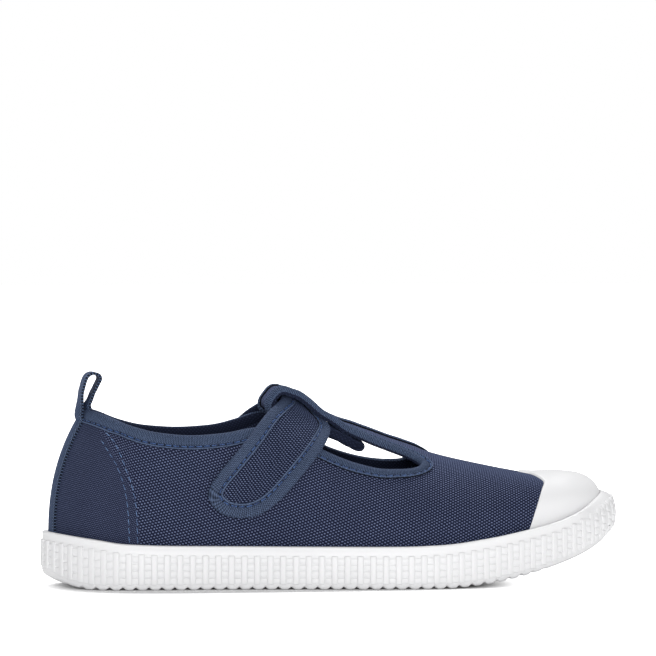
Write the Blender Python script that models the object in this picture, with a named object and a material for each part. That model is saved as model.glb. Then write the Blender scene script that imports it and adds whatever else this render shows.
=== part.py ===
"""Child's canvas T-bar plimsoll, right shoe, standing empty on its sole.

X runs from heel to toe, +Y to the inner (medial) side, -Y to the outer
(lateral) side, +Z up, and the sole's flat underside lies on Z = 0.  Sizes are
in millimetres here and become metres when a mesh is made.
"""
import math
from collections import namedtuple

import bmesh
import bpy
import numpy as np
from mathutils.bvhtree import BVHTree

MM = 0.001

# Driving sizes of the shoe.
LENGTH = 209.0
BALL_WIDTH = 77.0
INSTEP_HEIGHT = 66.6
HEEL_HEIGHT = 62.8
GAP = 0.3

# Walls and bands.
CLOTH = 1.6
FOXING_WALL = 4.3
LINING_TUCK = 3.0
CAP_WALL = 1.5
STRAP_THICK = 1.6
STRAP_WIDTH = 22.8
TAPE_THICK = 1.0
TAPE_WIDTH = 10.0
INSOLE_THICK = 3.2

# Across a section: lateral and medial half breadths of the sole's outer edge,
# in percent of the ball width, at a place in percent of the length.
Plan = namedtuple("Plan", "along lateral medial")
PLAN = [
    Plan(0.0, -0.6, 0.6),
    Plan(2.5, 17.3, 18.0),
    Plan(6.0, 27.0, 27.5),
    Plan(12.0, 34.7, 35.3),
    Plan(20.0, 37.5, 37.0),
    Plan(30.0, 38.7, 35.6),
    Plan(40.0, 42.0, 35.6),
    Plan(50.0, 46.5, 38.5),
    Plan(60.0, 49.9, 44.5),
    Plan(70.0, 49.7, 49.5),
    Plan(80.0, 45.6, 49.6),
    Plan(88.0, 37.8, 45.6),
    Plan(94.0, 27.6, 37.4),
    Plan(97.5, 16.2, 27.6),
    Plan(100.0, -5.8, 5.8),
]

# The last's ribs rise from the sole's edge to a spine: where each rib meets
# the spine, and how it spreads sideways and arches upwards.
Rib = namedtuple("Rib", "along spine spread arch")
RIBS = [
    Rib(0.0, 20.2, 2.25, 0.80),
    Rib(6.0, 21.2, 2.00, 0.80),
    Rib(12.0, 22.8, 1.60, 0.80),
    Rib(20.0, 26.0, 1.20, 0.80),
    Rib(30.0, 31.8, 1.05, 0.80),
    Rib(40.0, 40.0, 1.05, 0.80),
    Rib(50.0, 50.0, 1.20, 0.82),
    Rib(60.0, 60.0, 1.35, 0.85),
    Rib(70.0, 69.6, 1.10, 0.78),
    Rib(80.0, 78.4, 0.80, 0.65),
    Rib(88.0, 84.2, 0.58, 0.52),
    Rib(94.0, 87.5, 0.48, 0.46),
    Rib(100.0, 89.0, 0.45, 0.45),
]

# Spine of the last: height in percent of the instep height, and sideways
# swing in percent of the ball width.
Crest = namedtuple("Crest", "along height swing")
CREST = [
    Crest(20.2, 138.0, 0.0),
    Crest(30.8, 114.0, 0.0),
    Crest(37.5, 102.7, 0.0),
    Crest(42.4, 99.2, 0.0),
    Crest(45.2, 96.5, 0.0),
    Crest(47.6, 91.3, 0.0),
    Crest(50.0, 87.4, 0.0),
    Crest(56.0, 82.4, 0.0),
    Crest(62.5, 75.4, 0.4),
    Crest(69.7, 68.5, 1.5),
    Crest(76.9, 63.3, 3.0),
    Crest(81.7, 60.0, 4.0),
    Crest(85.6, 57.5, 4.8),
    Crest(89.4, 56.5, 5.4),
]

# Sole heights in millimetres: underside, floor of the cup, top of the foxing.
Sole = namedtuple("Sole", "along under floor foxing")
SOLE = [
    Sole(0.0, 5.5, 7.5, 20.0),
    Sole(2.9, 2.4, 7.0, 19.3),
    Sole(8.2, 0.0, 7.0, 17.8),
    Sole(13.5, 0.0, 6.5, 16.2),
    Sole(23.6, 0.0, 6.5, 15.5),
    Sole(59.6, 0.0, 6.5, 15.0),
    Sole(66.3, 0.0, 6.5, 15.4),
    Sole(75.0, 1.5, 7.5, 17.6),
    Sole(80.3, 3.6, 9.0, 19.6),
    Sole(87.0, 7.2, 12.0, 22.6),
    Sole(92.3, 10.8, 15.3, 26.4),
    Sole(96.2, 14.2, 18.6, 30.2),
    Sole(100.0, 19.0, 23.0, 33.0),
]

# Top edge of the lateral and medial quarters, in percent of the heel height.
Edge = namedtuple("Edge", "along lateral medial")
TOPLINE = [
    Edge(5.8, 100.6, 100.6),
    Edge(7.2, 100.0, 100.0),
    Edge(10.1, 97.5, 97.5),
    Edge(14.4, 92.0, 92.0),
    Edge(19.2, 88.2, 88.2),
    Edge(25.0, 86.9, 86.9),
    Edge(30.8, 88.2, 88.2),
    Edge(35.6, 91.1, 92.4),
    Edge(38.6, 91.8, 96.2),
    Edge(41.4, 89.6, 96.6),
    Edge(44.8, 83.4, 87.8),
    Edge(48.3, 77.4, 79.8),
    Edge(53.2, 71.3, 72.9),
    Edge(58.2, 67.8, 68.9),
    Edge(61.0, 67.2, 67.9),
]

# T-bar: half width in percent of the ball width, and how far it stands off
# the last to clear the strap, in millimetres.
Bar = namedtuple("Bar", "along half lift")
T_BAR = [
    Bar(42.3, 13.6, 4.8),
    Bar(46.3, 14.1, 4.6),
    Bar(47.4, 14.3, 4.0),
    Bar(48.6, 14.4, 3.1),
    Bar(49.9, 14.6, 2.3),
    Bar(51.1, 14.8, 1.4),
    Bar(52.4, 15.1, 0.8),
    Bar(54.2, 15.5, 0.4),
    Bar(57.0, 16.0, 0.0),
    Bar(61.0, 17.1, 0.0),
]
BAR_REAR = 42.3

# The T-bar is drawn tight between the vamp and the strap: how far it is
# pulled up level with its middle line on each side, as a share.
Level = namedtuple("Level", "along lateral medial")
LEVELS = [
    Level(42.3, 0.95, 0.95),
    Level(49.0, 0.95, 0.95),
    Level(53.0, 0.68, 0.97),
    Level(57.0, 0.56, 1.00),
    Level(61.0, 0.52, 1.00),
    Level(63.5, 0.34, 0.85),
    Level(66.0, 0.10, 0.60),
    Level(69.0, 0.00, 0.30),
    Level(73.0, 0.00, 0.00),
]
LEVEL_FADE = 1.55
LEVEL_START = 24.0
LEVEL_RUN = 7.0
OPENING_ROUND = 61.0
OPENING_FRONT = 65.1

# The T-bar's end goes round the strap's rear edge: outer face of the fold, in
# millimetres.
Fold = namedtuple("Fold", "x z")
FOLD = [
    Fold(-19.4, 71.4),
    Fold(-22.4, 70.0),
    Fold(-24.2, 66.8),
    Fold(-23.4, 64.2),
    Fold(-20.4, 63.9),
]

# It then runs forwards as a flap: how far its lower face lies beneath the
# last, straight down, and its breadth to each side as a share of the T-bar's.
Flap = namedtuple("Flap", "x under lateral medial")
FLAP = [
    Flap(-20.4, 2.8, 0.88, 0.70),
    Flap(-16.0, 2.7, 0.86, 0.66),
    Flap(-10.0, 3.0, 0.86, 0.64),
    Flap(-5.0, 3.8, 0.86, 0.62),
    Flap(2.0, 4.2, 0.86, 0.66),
    Flap(9.0, 4.4, 0.80, 0.60),
    Flap(12.6, 4.3, 0.30, 0.24),
]

# Rear edge of the toe cap: height above the foxing in percent of the way up
# to the crest, and place in percent of the length.
CapEdge = namedtuple("CapEdge", "up along")
CAP_EDGE = [
    CapEdge(0.0, 82.4),
    CapEdge(17.0, 83.8),
    CapEdge(36.0, 85.4),
    CapEdge(42.0, 85.9),
    CapEdge(46.0, 86.0),
    CapEdge(50.0, 85.8),
    CapEdge(57.0, 85.4),
    CapEdge(72.0, 84.8),
    CapEdge(88.0, 84.0),
    CapEdge(100.0, 83.7),
]

# Strap: its middle line lies in a plane square to the instep, which slopes by
# a pitch, and a little yawed.  Its ends are levels up its own slope.
STRAP_CROSSING = (-8.9, 63.6)
STRAP_PITCH = math.radians(43.0)
STRAP_YAW = math.radians(-4.0)
STRAP_ROOT = 19.5

# Under the T-bar the strap is gathered: leans between which it narrows, and by
# how much, behind its middle line and in front of it.
Gather = namedtuple("Gather", "start full share")
GATHERS = [Gather(50.0, 78.0, 0.25), Gather(60.0, 86.0, 0.50)]

# Free end of the strap: level of its outline, from the rear edge at -1 to the
# front edge at 1.
Tip = namedtuple("Tip", "across level")
STRAP_TIP = [
    Tip(-1.00, -1.0),
    Tip(-0.95, -5.3),
    Tip(-0.82, -7.7),
    Tip(-0.57, -9.1),
    Tip(-0.24, -9.3),
    Tip(0.13, -7.9),
    Tip(0.47, -5.4),
    Tip(0.72, -2.3),
    Tip(0.91, 2.2),
    Tip(1.00, 7.5),
]

# Pull loop above the heel, middle of the tape, in millimetres.
Loop = namedtuple("Loop", "x z")
PULL_LOOP = [
    Loop(-89.8, 65.2),
    Loop(-89.2, 70.2),
    Loop(-88.4, 74.2),
    Loop(-86.9, 76.2),
    Loop(-84.8, 76.2),
    Loop(-83.5, 74.5),
    Loop(-83.9, 72.2),
    Loop(-85.2, 69.2),
    Loop(-85.6, 66.0),
    Loop(-85.1, 63.0),
]
TAPE_TUCK = 8.0

# Tread: cross grooves under heel and forefoot.
GROOVE_WIDTH = 2.2
GROOVE_DEPTH = 1.4
TREAD_MARGIN = 8.5
Field = namedtuple("Field", "start end count")
TREAD = [Field(-90.0, -50.0, 8), Field(-6.0, 84.0, 16)]

# Mesh densities.
SOLE_STATIONS = 60
RIB_STEPS = 6
BAR_STEPS = 4
EDGE_ROW = 0.9
STRAP_STEPS = 10
STRAP_ROWS = 26
TAPE_STEPS = 4
FOLD_STEPS = 12
FLAP_STEPS = 12
LAST_RIBS = 240
LAST_STEPS = 60
CREST_LEAN = math.radians(89.5)
OFF_CREST = 0.01


def place(along):
    """Length percentage as an X coordinate."""
    return (along / 100.0 - 0.5) * LENGTH


def soft_curve(xs, ys):
    """Curve through the rows of a table that never overshoots them."""
    xs = np.array(xs, float)
    ys = np.array(ys, float)
    step = np.diff(xs)
    rise = np.diff(ys) / step
    slope = np.zeros(len(xs))
    slope[0] = rise[0]
    slope[-1] = rise[-1]
    for i in range(1, len(xs) - 1):
        if rise[i - 1] * rise[i] > 0.0:
            near = 2.0 * step[i] + step[i - 1]
            far = step[i] + 2.0 * step[i - 1]
            slope[i] = (near + far) / (near / rise[i - 1] + far / rise[i])

    def value(x):
        x = min(max(x, xs[0]), xs[-1])
        i = min(int(np.searchsorted(xs, x, side="right")) - 1, len(step) - 1)
        t = (x - xs[i]) / step[i]
        start = ys[i] * (1 + 2 * t) * (1 - t) ** 2 + ys[i + 1] * t * t * (3 - 2 * t)
        bend = slope[i] * t * (1 - t) ** 2 - slope[i + 1] * t * t * (1 - t)
        return start + bend * step[i]

    return value


def closed_spline(angles, values):
    """Cubic through values round a full turn."""
    count = len(angles)
    angles = np.array(list(angles) + [angles[0] + 2 * math.pi])
    values = np.array(list(values) + [values[0]])
    step = np.diff(angles)
    matrix = np.zeros((count, count))
    right = np.zeros(count)
    for i in range(count):
        before = (i - 1) % count
        after = (i + 1) % count
        matrix[i, before] += step[before]
        matrix[i, i] += 2.0 * (step[before] + step[i])
        matrix[i, after] += step[i]
        jump_on = (values[i + 1] - values[i]) / step[i]
        jump_back = (values[i] - values[before]) / step[before]
        right[i] = 6.0 * (jump_on - jump_back)
    bend = np.linalg.solve(matrix, right)
    bend = np.append(bend, bend[0])

    def value(angle):
        angle = angle % (2 * math.pi)
        i = min(int(np.searchsorted(angles, angle, side="right")) - 1, count - 1)
        h = step[i]
        a = (angles[i + 1] - angle) / h
        b = 1.0 - a
        curve = ((a ** 3 - a) * bend[i] + (b ** 3 - b) * bend[i + 1]) * h * h / 6.0
        return a * values[i] + b * values[i + 1] + curve

    return value


def turn_of(along):
    """Angle round the outline, 0 at the heel and pi at the toe."""
    return math.acos(1.0 - along / 50.0)


def outline_table():
    turns = [turn_of(row.along) for row in PLAN]
    sides = [-row.lateral * BALL_WIDTH / 100.0 for row in PLAN]
    for row in reversed(PLAN[1:-1]):
        turns.append(2 * math.pi - turn_of(row.along))
        sides.append(row.medial * BALL_WIDTH / 100.0)
    return closed_spline(turns, sides)


edge_y = outline_table()


def table_curve(rows, column, scale=1.0):
    return soft_curve([place(row.along) for row in rows],
                      [getattr(row, column) * scale for row in rows])


spine_of = soft_curve([place(row.along) for row in RIBS],
                      [place(row.spine) for row in RIBS])
spread_of = table_curve(RIBS, "spread")
arch_of = table_curve(RIBS, "arch")
crest_of = table_curve(CREST, "height", INSTEP_HEIGHT / 100.0)
swing_of = table_curve(CREST, "swing", BALL_WIDTH / 100.0)
under_of = table_curve(SOLE, "under")
floor_of = table_curve(SOLE, "floor")
foxing_of = table_curve(SOLE, "foxing")
topline_of = {1: table_curve(TOPLINE, "lateral", HEEL_HEIGHT / 100.0),
              -1: table_curve(TOPLINE, "medial", HEEL_HEIGHT / 100.0)}
bar_half_of = table_curve(T_BAR, "half", BALL_WIDTH / 100.0)
bar_lift_of = table_curve(T_BAR, "lift")
level_of = {1: table_curve(LEVELS, "lateral"), -1: table_curve(LEVELS, "medial")}
tip_level_of = soft_curve([row.across for row in STRAP_TIP], [row.level for row in STRAP_TIP])


def outline(turn, inset=0.0):
    """Point on the sole's outer edge, moved inwards by an inset."""
    d = 1e-4
    tangent_x = 0.5 * LENGTH * math.sin(turn)
    tangent_y = (edge_y(turn + d) - edge_y(turn - d)) / (2 * d)
    size = math.hypot(tangent_x, tangent_y)
    x = -0.5 * LENGTH * math.cos(turn) - tangent_y / size * inset
    y = edge_y(turn) + tangent_x / size * inset
    return x, y


class RibLine:
    """One rib of the last: a rounded curve from the sole's edge to the spine."""

    def __init__(self, turn):
        self.x0, self.y0 = outline(turn, FOXING_WALL + GAP)
        station = -0.5 * LENGTH * math.cos(turn)
        self.side = 1 if turn <= math.pi else -1
        self.station = station
        self.z0 = foxing_of(self.x0) - LINING_TUCK
        self.x1 = spine_of(station)
        self.y1 = swing_of(self.x1)
        self.z1 = crest_of(self.x1)
        self.spread = spread_of(station)
        self.arch = arch_of(station)

    def point(self, lean):
        """Point at a lean of 0 (upright, at the sole) to 90 degrees (spine)."""
        out = max(math.cos(lean), 0.0) ** self.spread
        up = math.sin(lean) ** self.arch
        return np.array([self.x1 + (self.x0 - self.x1) * out,
                         self.y1 + (self.y0 - self.y1) * out,
                         self.z0 + (self.z1 - self.z0) * up])

    def lean_at_height(self, z):
        part = min(max((z - self.z0) / (self.z1 - self.z0), 0.0), 1.0)
        return math.asin(part ** (1.0 / self.arch))

    def lean_at_half(self, half):
        part = min(half / abs(self.y0 - self.y1), 1.0)
        return math.acos(part ** (1.0 / self.spread))

    def lean_at_topline(self):
        """Lean at which the rib meets the quarter's top edge."""
        low = 0.0
        high = 0.5 * math.pi
        for _ in range(40):
            middle = 0.5 * (low + high)
            x, y, z = self.point(middle)
            if z < topline_of[self.side](x):
                low = middle
            else:
                high = middle
        return low

    def walk(self, start, end, steps, near_start=0.0, near_end=0.0):
        """Points spaced evenly along the rib, with a narrow row at a free edge."""
        fine = np.linspace(0.0, 0.5 * math.pi, 60)
        leans = [math.acos(math.cos(f) ** (1.0 / self.spread)) for f in fine[:-1]]
        leans += [math.asin(math.sin(f) ** (1.0 / self.arch)) for f in fine[:-1]]
        leans = sorted([start, end] + [f for f in leans if start < f < end])
        path = np.array([self.point(f) for f in leans])
        reach = np.append(0.0, np.cumsum(np.linalg.norm(np.diff(path, axis=0), axis=1)))
        marks = list(np.linspace(near_start, reach[-1] - near_end, steps + 1))
        if near_start > 0.0:
            marks.insert(0, 0.0)
        if near_end > 0.0:
            marks.append(reach[-1])
        return [np.array([np.interp(m, reach, path[:, i]) for i in range(3)]) for m in marks]


def last_surface():
    """The last as a fine net of faces to lay straps and flaps on."""
    turns = np.linspace(0.0, 2.0 * math.pi, 2 * LAST_RIBS + 1)[:-1]
    leans = np.linspace(0.0, 0.5 * math.pi, LAST_STEPS + 1)
    verts = []
    for turn in turns:
        rib = RibLine(turn)
        verts.extend(tuple(rib.point(lean)) for lean in leans)
    faces = []
    for i in range(len(turns)):
        k = (i + 1) % len(turns)
        for j in range(LAST_STEPS):
            a = i * (LAST_STEPS + 1) + j
            b = k * (LAST_STEPS + 1) + j
            faces.append((a, b, b + 1, a + 1))
    return BVHTree.FromPolygons(verts, faces)


last = last_surface()


def last_height(x, y):
    """Height of the last above a place on the plan."""
    above = (x, y + OFF_CREST, 2.0 * INSTEP_HEIGHT)
    return last.ray_cast(above, (0.0, 0.0, -1.0))[0][2]


def mesh_object(name, verts, faces, material):
    """Object from millimetre points, its faces turned outwards."""
    mesh = bpy.data.meshes.new(name)
    mesh.from_pydata([tuple(float(c) * MM for c in v) for v in verts], [], faces)
    work = bmesh.new()
    work.from_mesh(mesh)
    bmesh.ops.remove_doubles(work, verts=work.verts, dist=1e-6)
    bmesh.ops.dissolve_degenerate(work, dist=1e-6, edges=work.edges)
    work.to_mesh(mesh)
    work.free()
    for face in mesh.polygons:
        face.use_smooth = True
    obj = bpy.data.objects.new(name, mesh)
    bpy.context.scene.collection.objects.link(obj)
    mesh.materials.append(material)
    return obj


def face_outwards(obj):
    work = bmesh.new()
    work.from_mesh(obj.data)
    bmesh.ops.recalc_face_normals(work, faces=work.faces)
    work.to_mesh(obj.data)
    work.free()


def shift_outwards(obj, distance):
    """Move every vertex along its normal."""
    work = bmesh.new()
    work.from_mesh(obj.data)
    work.normal_update()
    moves = [(v, v.normal.copy()) for v in work.verts]
    for vert, normal in moves:
        vert.co += normal * distance * MM
    work.to_mesh(obj.data)
    work.free()


def thicken(obj, thickness, outwards):
    wall = obj.modifiers.new("wall", "SOLIDIFY")
    wall.thickness = thickness * MM
    wall.offset = 1.0 if outwards else -1.0
    wall.use_even_offset = True
    wall.use_quality_normals = True


def material(name, color, roughness):
    mat = bpy.data.materials.new(name)
    mat.use_nodes = True
    shader = mat.node_tree.nodes["Principled BSDF"]
    shader.inputs["Base Color"].default_value = (*color, 1.0)
    shader.inputs["Roughness"].default_value = roughness
    shader.inputs["Metallic"].default_value = 0.0
    return mat


def grid_faces(rows, columns, offset=0):
    faces = []
    for i in range(rows - 1):
        for j in range(columns - 1):
            a = offset + i * columns + j
            faces.append((a, a + 1, a + columns + 1, a + columns))
    return faces


def sole_turns():
    return [math.pi * k / SOLE_STATIONS for k in range(2 * SOLE_STATIONS)]


def ring(turns, inset, height):
    """Closed ring of points, each at a height worked out from its own X."""
    points = []
    for turn in turns:
        x, y = outline(turn, inset)
        points.append((x, y, height(x)))
    return points


def loft(name, rings, material_slot):
    """Closed solid through rings, with its two ends filled from side to side."""
    count = len(rings[0])
    verts = [p for r in rings for p in r]
    faces = []
    for i in range(len(rings) - 1):
        for j in range(count):
            k = (j + 1) % count
            faces.append((i * count + j, i * count + k, (i + 1) * count + k, (i + 1) * count + j))
    half = count // 2
    for base, flip in ((0, True), ((len(rings) - 1) * count, False)):
        for k in range(half):
            corner = [base + k, base + k + 1, base + (count - k - 1) % count, base + (count - k) % count]
            corner = list(dict.fromkeys(corner))
            faces.append(tuple(reversed(corner)) if flip else tuple(corner))
    obj = mesh_object(name, verts, faces, material_slot)
    face_outwards(obj)
    return obj


def build_outsole(rubber):
    """Moulded cup sole: tread, bevelled edge, ribbed wall and lip."""
    turns = sole_turns()
    inner = FOXING_WALL
    rings = [
        ring(turns, 9.0, under_of),
        ring(turns, 2.6, under_of),
        ring(turns, 0.6, lambda x: under_of(x) + 1.3),
        ring(turns, 0.0, lambda x: under_of(x) + 3.2),
        ring(turns, 0.0, lambda x: foxing_of(x) - 3.6),
        ring(turns, 0.6, lambda x: foxing_of(x) - 3.1),
        ring(turns, 0.8, lambda x: foxing_of(x) - 0.9),
        ring(turns, 1.8, foxing_of),
        ring(turns, inner, lambda x: foxing_of(x) - 0.2),
        ring(turns, inner, floor_of),
    ]
    sole = loft("outsole", rings, rubber)
    cutter = tread_cutter()
    cut = sole.modifiers.new("tread", "BOOLEAN")
    cut.operation = "DIFFERENCE"
    cut.object = cutter
    return sole


def tread_cutter():
    """Bars that cut the cross grooves."""
    verts = []
    faces = []
    for field in TREAD:
        for x in np.linspace(field.start, field.end, field.count):
            turn = math.acos(-x / (0.5 * LENGTH))
            low = edge_y(turn) + TREAD_MARGIN
            high = edge_y(2 * math.pi - turn) - TREAD_MARGIN
            first = len(verts)
            for z in (-2.0, GROOVE_DEPTH):
                for px, py in ((-1, low), (1, low), (1, high), (-1, high)):
                    cut_x = x + px * GROOVE_WIDTH / 2
                    verts.append((cut_x, py, under_of(cut_x) + z))
            faces.append((first + 3, first + 2, first + 1, first))
            faces.append((first + 4, first + 5, first + 6, first + 7))
            for k in range(4):
                n = (k + 1) % 4
                faces.append((first + k, first + n, first + 4 + n, first + 4 + k))
    cutter = mesh_object("tread_cutter", verts, faces, material("cutter", (1.0, 0.2, 0.2), 0.5))
    face_outwards(cutter)
    cutter.hide_render = True
    cutter.display_type = "WIRE"
    return cutter


def build_insole(cloth):
    """Sock board inside the upper, following the cup's floor."""
    turns = sole_turns()[::2]
    inset = FOXING_WALL + GAP + CLOTH + GAP
    rings = [
        ring(turns, inset, lambda x: floor_of(x) + GAP),
        ring(turns, inset, lambda x: floor_of(x) + GAP + INSOLE_THICK - 0.5),
        ring(turns, inset + 0.6, lambda x: floor_of(x) + GAP + INSOLE_THICK),
    ]
    return loft("insole", rings, cloth)


def upper_stations():
    """Places of the upper's ribs, as turns from heel to toe."""
    heel = list(np.linspace(0.0, turn_of(12.0), 9))[:-1]
    quarter = [turn_of(a) for a in np.linspace(12.0, 40.0, 11)][:-1]
    waist = [turn_of(a) for a in np.linspace(40.0, 49.0, 5)][:-1]
    bar = [turn_of(a) for a in np.linspace(49.0, OPENING_ROUND, 7)][:-1]
    swing = np.linspace(0.0, 0.5 * math.pi, 6)
    reach = OPENING_FRONT - OPENING_ROUND
    front = [turn_of(OPENING_ROUND + reach * math.sin(s)) for s in swing]
    vamp = [turn_of(a) for a in np.linspace(OPENING_FRONT, 84.0, 7)][1:]
    toe = list(np.linspace(turn_of(84.0), math.pi, 10))[1:]
    return heel + quarter + waist + bar + front + vamp + toe


def opening_leans(rib):
    """Leans of the quarter's edge and of the T-bar's edge on one rib."""
    station = rib.station
    start = place(OPENING_ROUND)
    end = place(OPENING_FRONT)
    if station <= start:
        low = rib.lean_at_topline()
        if station < place(BAR_REAR) - 0.01:
            return low, None
        return low, rib.lean_at_half(bar_half_of(station))
    low = rib.lean_at_height(topline_of[rib.side](start))
    high = rib.lean_at_half(bar_half_of(start))
    if station >= end - 0.01:
        middle = 0.5 * (low + high)
        return middle, middle
    part = (station - start) / (end - start)
    half = 0.5 * (high - low) * math.sqrt(1.0 - part * part)
    middle = 0.5 * (low + high)
    return middle - half, middle + half


def side_columns(turn):
    """Quarter points and T-bar points of one rib, from the sole upwards."""
    rib = RibLine(turn)
    low, high = opening_leans(rib)
    hem = (rib.x0, rib.y0, floor_of(rib.x0) + GAP)
    quarter = [np.array(hem)] + rib.walk(0.0, low, RIB_STEPS, near_end=EDGE_ROW)
    if high is None:
        return quarter, None
    bar = rib.walk(high, 0.5 * math.pi, BAR_STEPS - 1, near_start=EDGE_ROW)
    part = min(max((rib.station - LEVEL_START) / LEVEL_RUN, 0.0), 1.0)
    drawn = drawn_level(quarter[1:], rib.side)
    share = part * part * (3.0 - 2.0 * part)
    quarter[1:] = [p + (q - p) * share for p, q in zip(quarter[1:], drawn)]
    return quarter, lifted(drawn_level(bar, rib.side), bar_lift_of(rib.station))


def drawn_level(points, side):
    """Points near the middle line, pulled up towards the T-bar's own height."""
    moved = []
    for x, y, z in points:
        reach = abs(y - swing_of(x)) / bar_half_of(x)
        fade = min(max((LEVEL_FADE - reach) / (LEVEL_FADE - 1.0), 0.0), 1.0)
        share = level_of[side](x) * fade * fade * (3.0 - 2.0 * fade)
        moved.append(np.array([x, y, z + (crest_of(x) - z) * share]))
    return moved


def lifted(bar, distance):
    """T-bar points moved off the last, square to its surface."""
    if distance <= 0.0:
        return bar
    x = bar[-1][0]
    along = np.array([1.0, 0.0, crest_of(x + 0.5) - crest_of(x - 0.5)])
    moved = []
    for i, point in enumerate(bar):
        if i == len(bar) - 1:
            normal = np.array([-along[2], 0.0, 1.0])
        else:
            across = bar[i + 1] - bar[max(i - 1, 0)]
            normal = np.cross(along, across)
            normal = normal * math.copysign(1.0, normal[2])
        moved.append(point + normal / np.linalg.norm(normal) * distance)
    return moved


def fold_rows(last_row):
    """The T-bar's end carried round the fold and forwards as a flap."""
    centre = last_row[BAR_STEPS]
    knots = [(centre[0], centre[2])] + [(row.x, row.z) for row in FOLD]
    reach = [0.0]
    for before, after in zip(knots[:-1], knots[1:]):
        reach.append(reach[-1] + math.hypot(after[0] - before[0], after[1] - before[1]))
    path_x = hermite_curve(reach, [k[0] for k in knots])
    path_z = hermite_curve(reach, [k[1] for k in knots])
    under_last = soft_curve([row.x for row in FLAP], [row.under for row in FLAP])
    share_of = [soft_curve([row.x for row in FLAP], [getattr(row, side) for row in FLAP])
                for side in ("lateral", "medial")]
    rows = []
    for mark in np.linspace(0.0, reach[-1], FOLD_STEPS + 1)[1:]:
        part = mark / reach[-1]
        turn = min(max(1.8 * part - 0.8, 0.0), 1.0)
        row = []
        for p in last_row:
            narrow = share_of[int(p[1] > 0.0)](FLAP[0].x)
            side = 1.0 - (1.0 - narrow) * part
            x = path_x(mark)
            y = p[1] * side
            droop = last_height(x, y) - last_height(x, 0.0)
            rise = (p[2] - centre[2]) * side
            row.append(np.array([x, y, path_z(mark) + rise + (droop - rise) * turn * turn]))
        rows.append(row)
    start = rows[-1]
    for k in range(1, FLAP_STEPS + 1):
        part = k / FLAP_STEPS
        row = []
        for p, q in zip(last_row, start):
            x = q[0] + (FLAP[-1].x - q[0]) * math.sin(0.5 * math.pi * part)
            y = p[1] * share_of[int(p[1] > 0.0)](x)
            settle = min(3.0 * part, 1.0)
            z = last_height(x, y) - under_last(x)
            row.append(np.array([x, y, q[2] + (z - q[2]) * settle if settle < 1.0 else z]))
        rows.append(row)
    return rows


def hermite_curve(xs, ys):
    """Smooth curve through points, with slopes taken from their neighbours."""
    xs = np.array(xs, float)
    slope = np.gradient(np.array(ys, float), xs)

    def value(x):
        i = min(max(int(np.searchsorted(xs, x, side="right")) - 1, 0), len(xs) - 2)
        h = xs[i + 1] - xs[i]
        t = (x - xs[i]) / h
        start = ys[i] * (1 + 2 * t) * (1 - t) ** 2 + ys[i + 1] * t * t * (3 - 2 * t)
        return start + (slope[i] * t * (1 - t) ** 2 - slope[i + 1] * t * t * (1 - t)) * h

    return value


def build_upper(canvas):
    """Vamp, quarters and T-bar in one wall, open at collar, sides and sole."""
    turns = upper_stations()
    left = [side_columns(t) for t in turns]
    right = [side_columns(2 * math.pi - t) for t in turns]
    verts = []
    faces = []
    for side, flip in ((left, True), (right, False)):
        first = len(verts)
        width = len(side[0][0])
        for quarter, bar in side:
            verts.extend(quarter)
        for face in grid_faces(len(side), width, first):
            faces.append(tuple(reversed(face)) if flip else face)
    bar_rows = []
    for (quarter, near), (other, far) in zip(left, right):
        if near is not None:
            bar_rows.append(near + list(reversed(far[:-1])))
    folded = fold_rows(bar_rows[0])
    bar_rows = list(reversed(folded)) + bar_rows
    first = len(verts)
    for row in bar_rows:
        verts.extend(row)
    for face in grid_faces(len(bar_rows), 2 * BAR_STEPS + 1, first):
        faces.append(tuple(reversed(face)))
    upper = mesh_object("upper", verts, faces, canvas)
    thicken(upper, CLOTH, outwards=False)
    return upper


def build_toe_cap(rubber):
    """Rubber cap: a skin of the last over the toe, standing proud of it."""
    edge_of = soft_curve([row.up for row in CAP_EDGE], [place(row.along) for row in CAP_EDGE])
    rows = 10
    columns = 10
    verts = []
    faces = []
    for sign, flip in ((1, False), (-1, True)):
        first = len(verts)
        for i in range(rows + 1):
            up = i / rows
            target = edge_of(100.0 * up)
            low = turn_of(70.0)
            high = math.pi
            for _ in range(30):
                middle = 0.5 * (low + high)
                if cap_point(sign * middle, up)[0] < target:
                    low = middle
                else:
                    high = middle
            for j in range(columns + 1):
                turn = low + (math.pi - low) * j / columns
                verts.append(cap_point(sign * turn, up))
        for face in grid_faces(rows + 1, columns + 1, first):
            faces.append(tuple(reversed(face)) if flip else face)
    cap = mesh_object("toe_cap", verts, faces, rubber)
    shift_outwards(cap, 1.5 * GAP)
    thicken(cap, CAP_WALL, outwards=True)
    return cap


def cap_point(turn, up):
    """Point on the last, a share of the way from the foxing to the crest."""
    rib = RibLine(turn % (2 * math.pi))
    low = rib.lean_at_height(foxing_of(rib.x0) + 2.0 * GAP)
    fine = rib.walk(low, 0.5 * math.pi, 24)
    mark = up * 24
    i = min(int(mark), 23)
    return fine[i] + (fine[i + 1] - fine[i]) * (mark - i)


def strap_spot(side, lean, offset):
    """Point of the last on a plane beside the strap's middle, at a lean."""
    hem = GATHERS[int(offset > 0.0)]
    gather = min(max((math.degrees(lean) - hem.start) / (hem.full - hem.start), 0.0), 1.0)
    offset *= 1.0 - hem.share * gather * gather * (3.0 - 2.0 * gather)
    square = np.array([math.cos(STRAP_PITCH) * math.cos(STRAP_YAW),
                       -math.sin(STRAP_YAW),
                       -math.sin(STRAP_PITCH) * math.cos(STRAP_YAW)])
    crossing = np.array([STRAP_CROSSING[0], 0.0, STRAP_CROSSING[1]])
    low = turn_of(15.0)
    high = turn_of(65.0)
    for _ in range(30):
        middle = 0.5 * (low + high)
        spot = RibLine(side * middle % (2 * math.pi)).point(lean)
        if np.dot(spot - crossing, square) < offset:
            low = middle
        else:
            high = middle
    return spot


def strap_level(spot):
    """How far up the strap's slope a point lies."""
    return spot[0] * math.sin(STRAP_PITCH) + spot[2] * math.cos(STRAP_PITCH)


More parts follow.
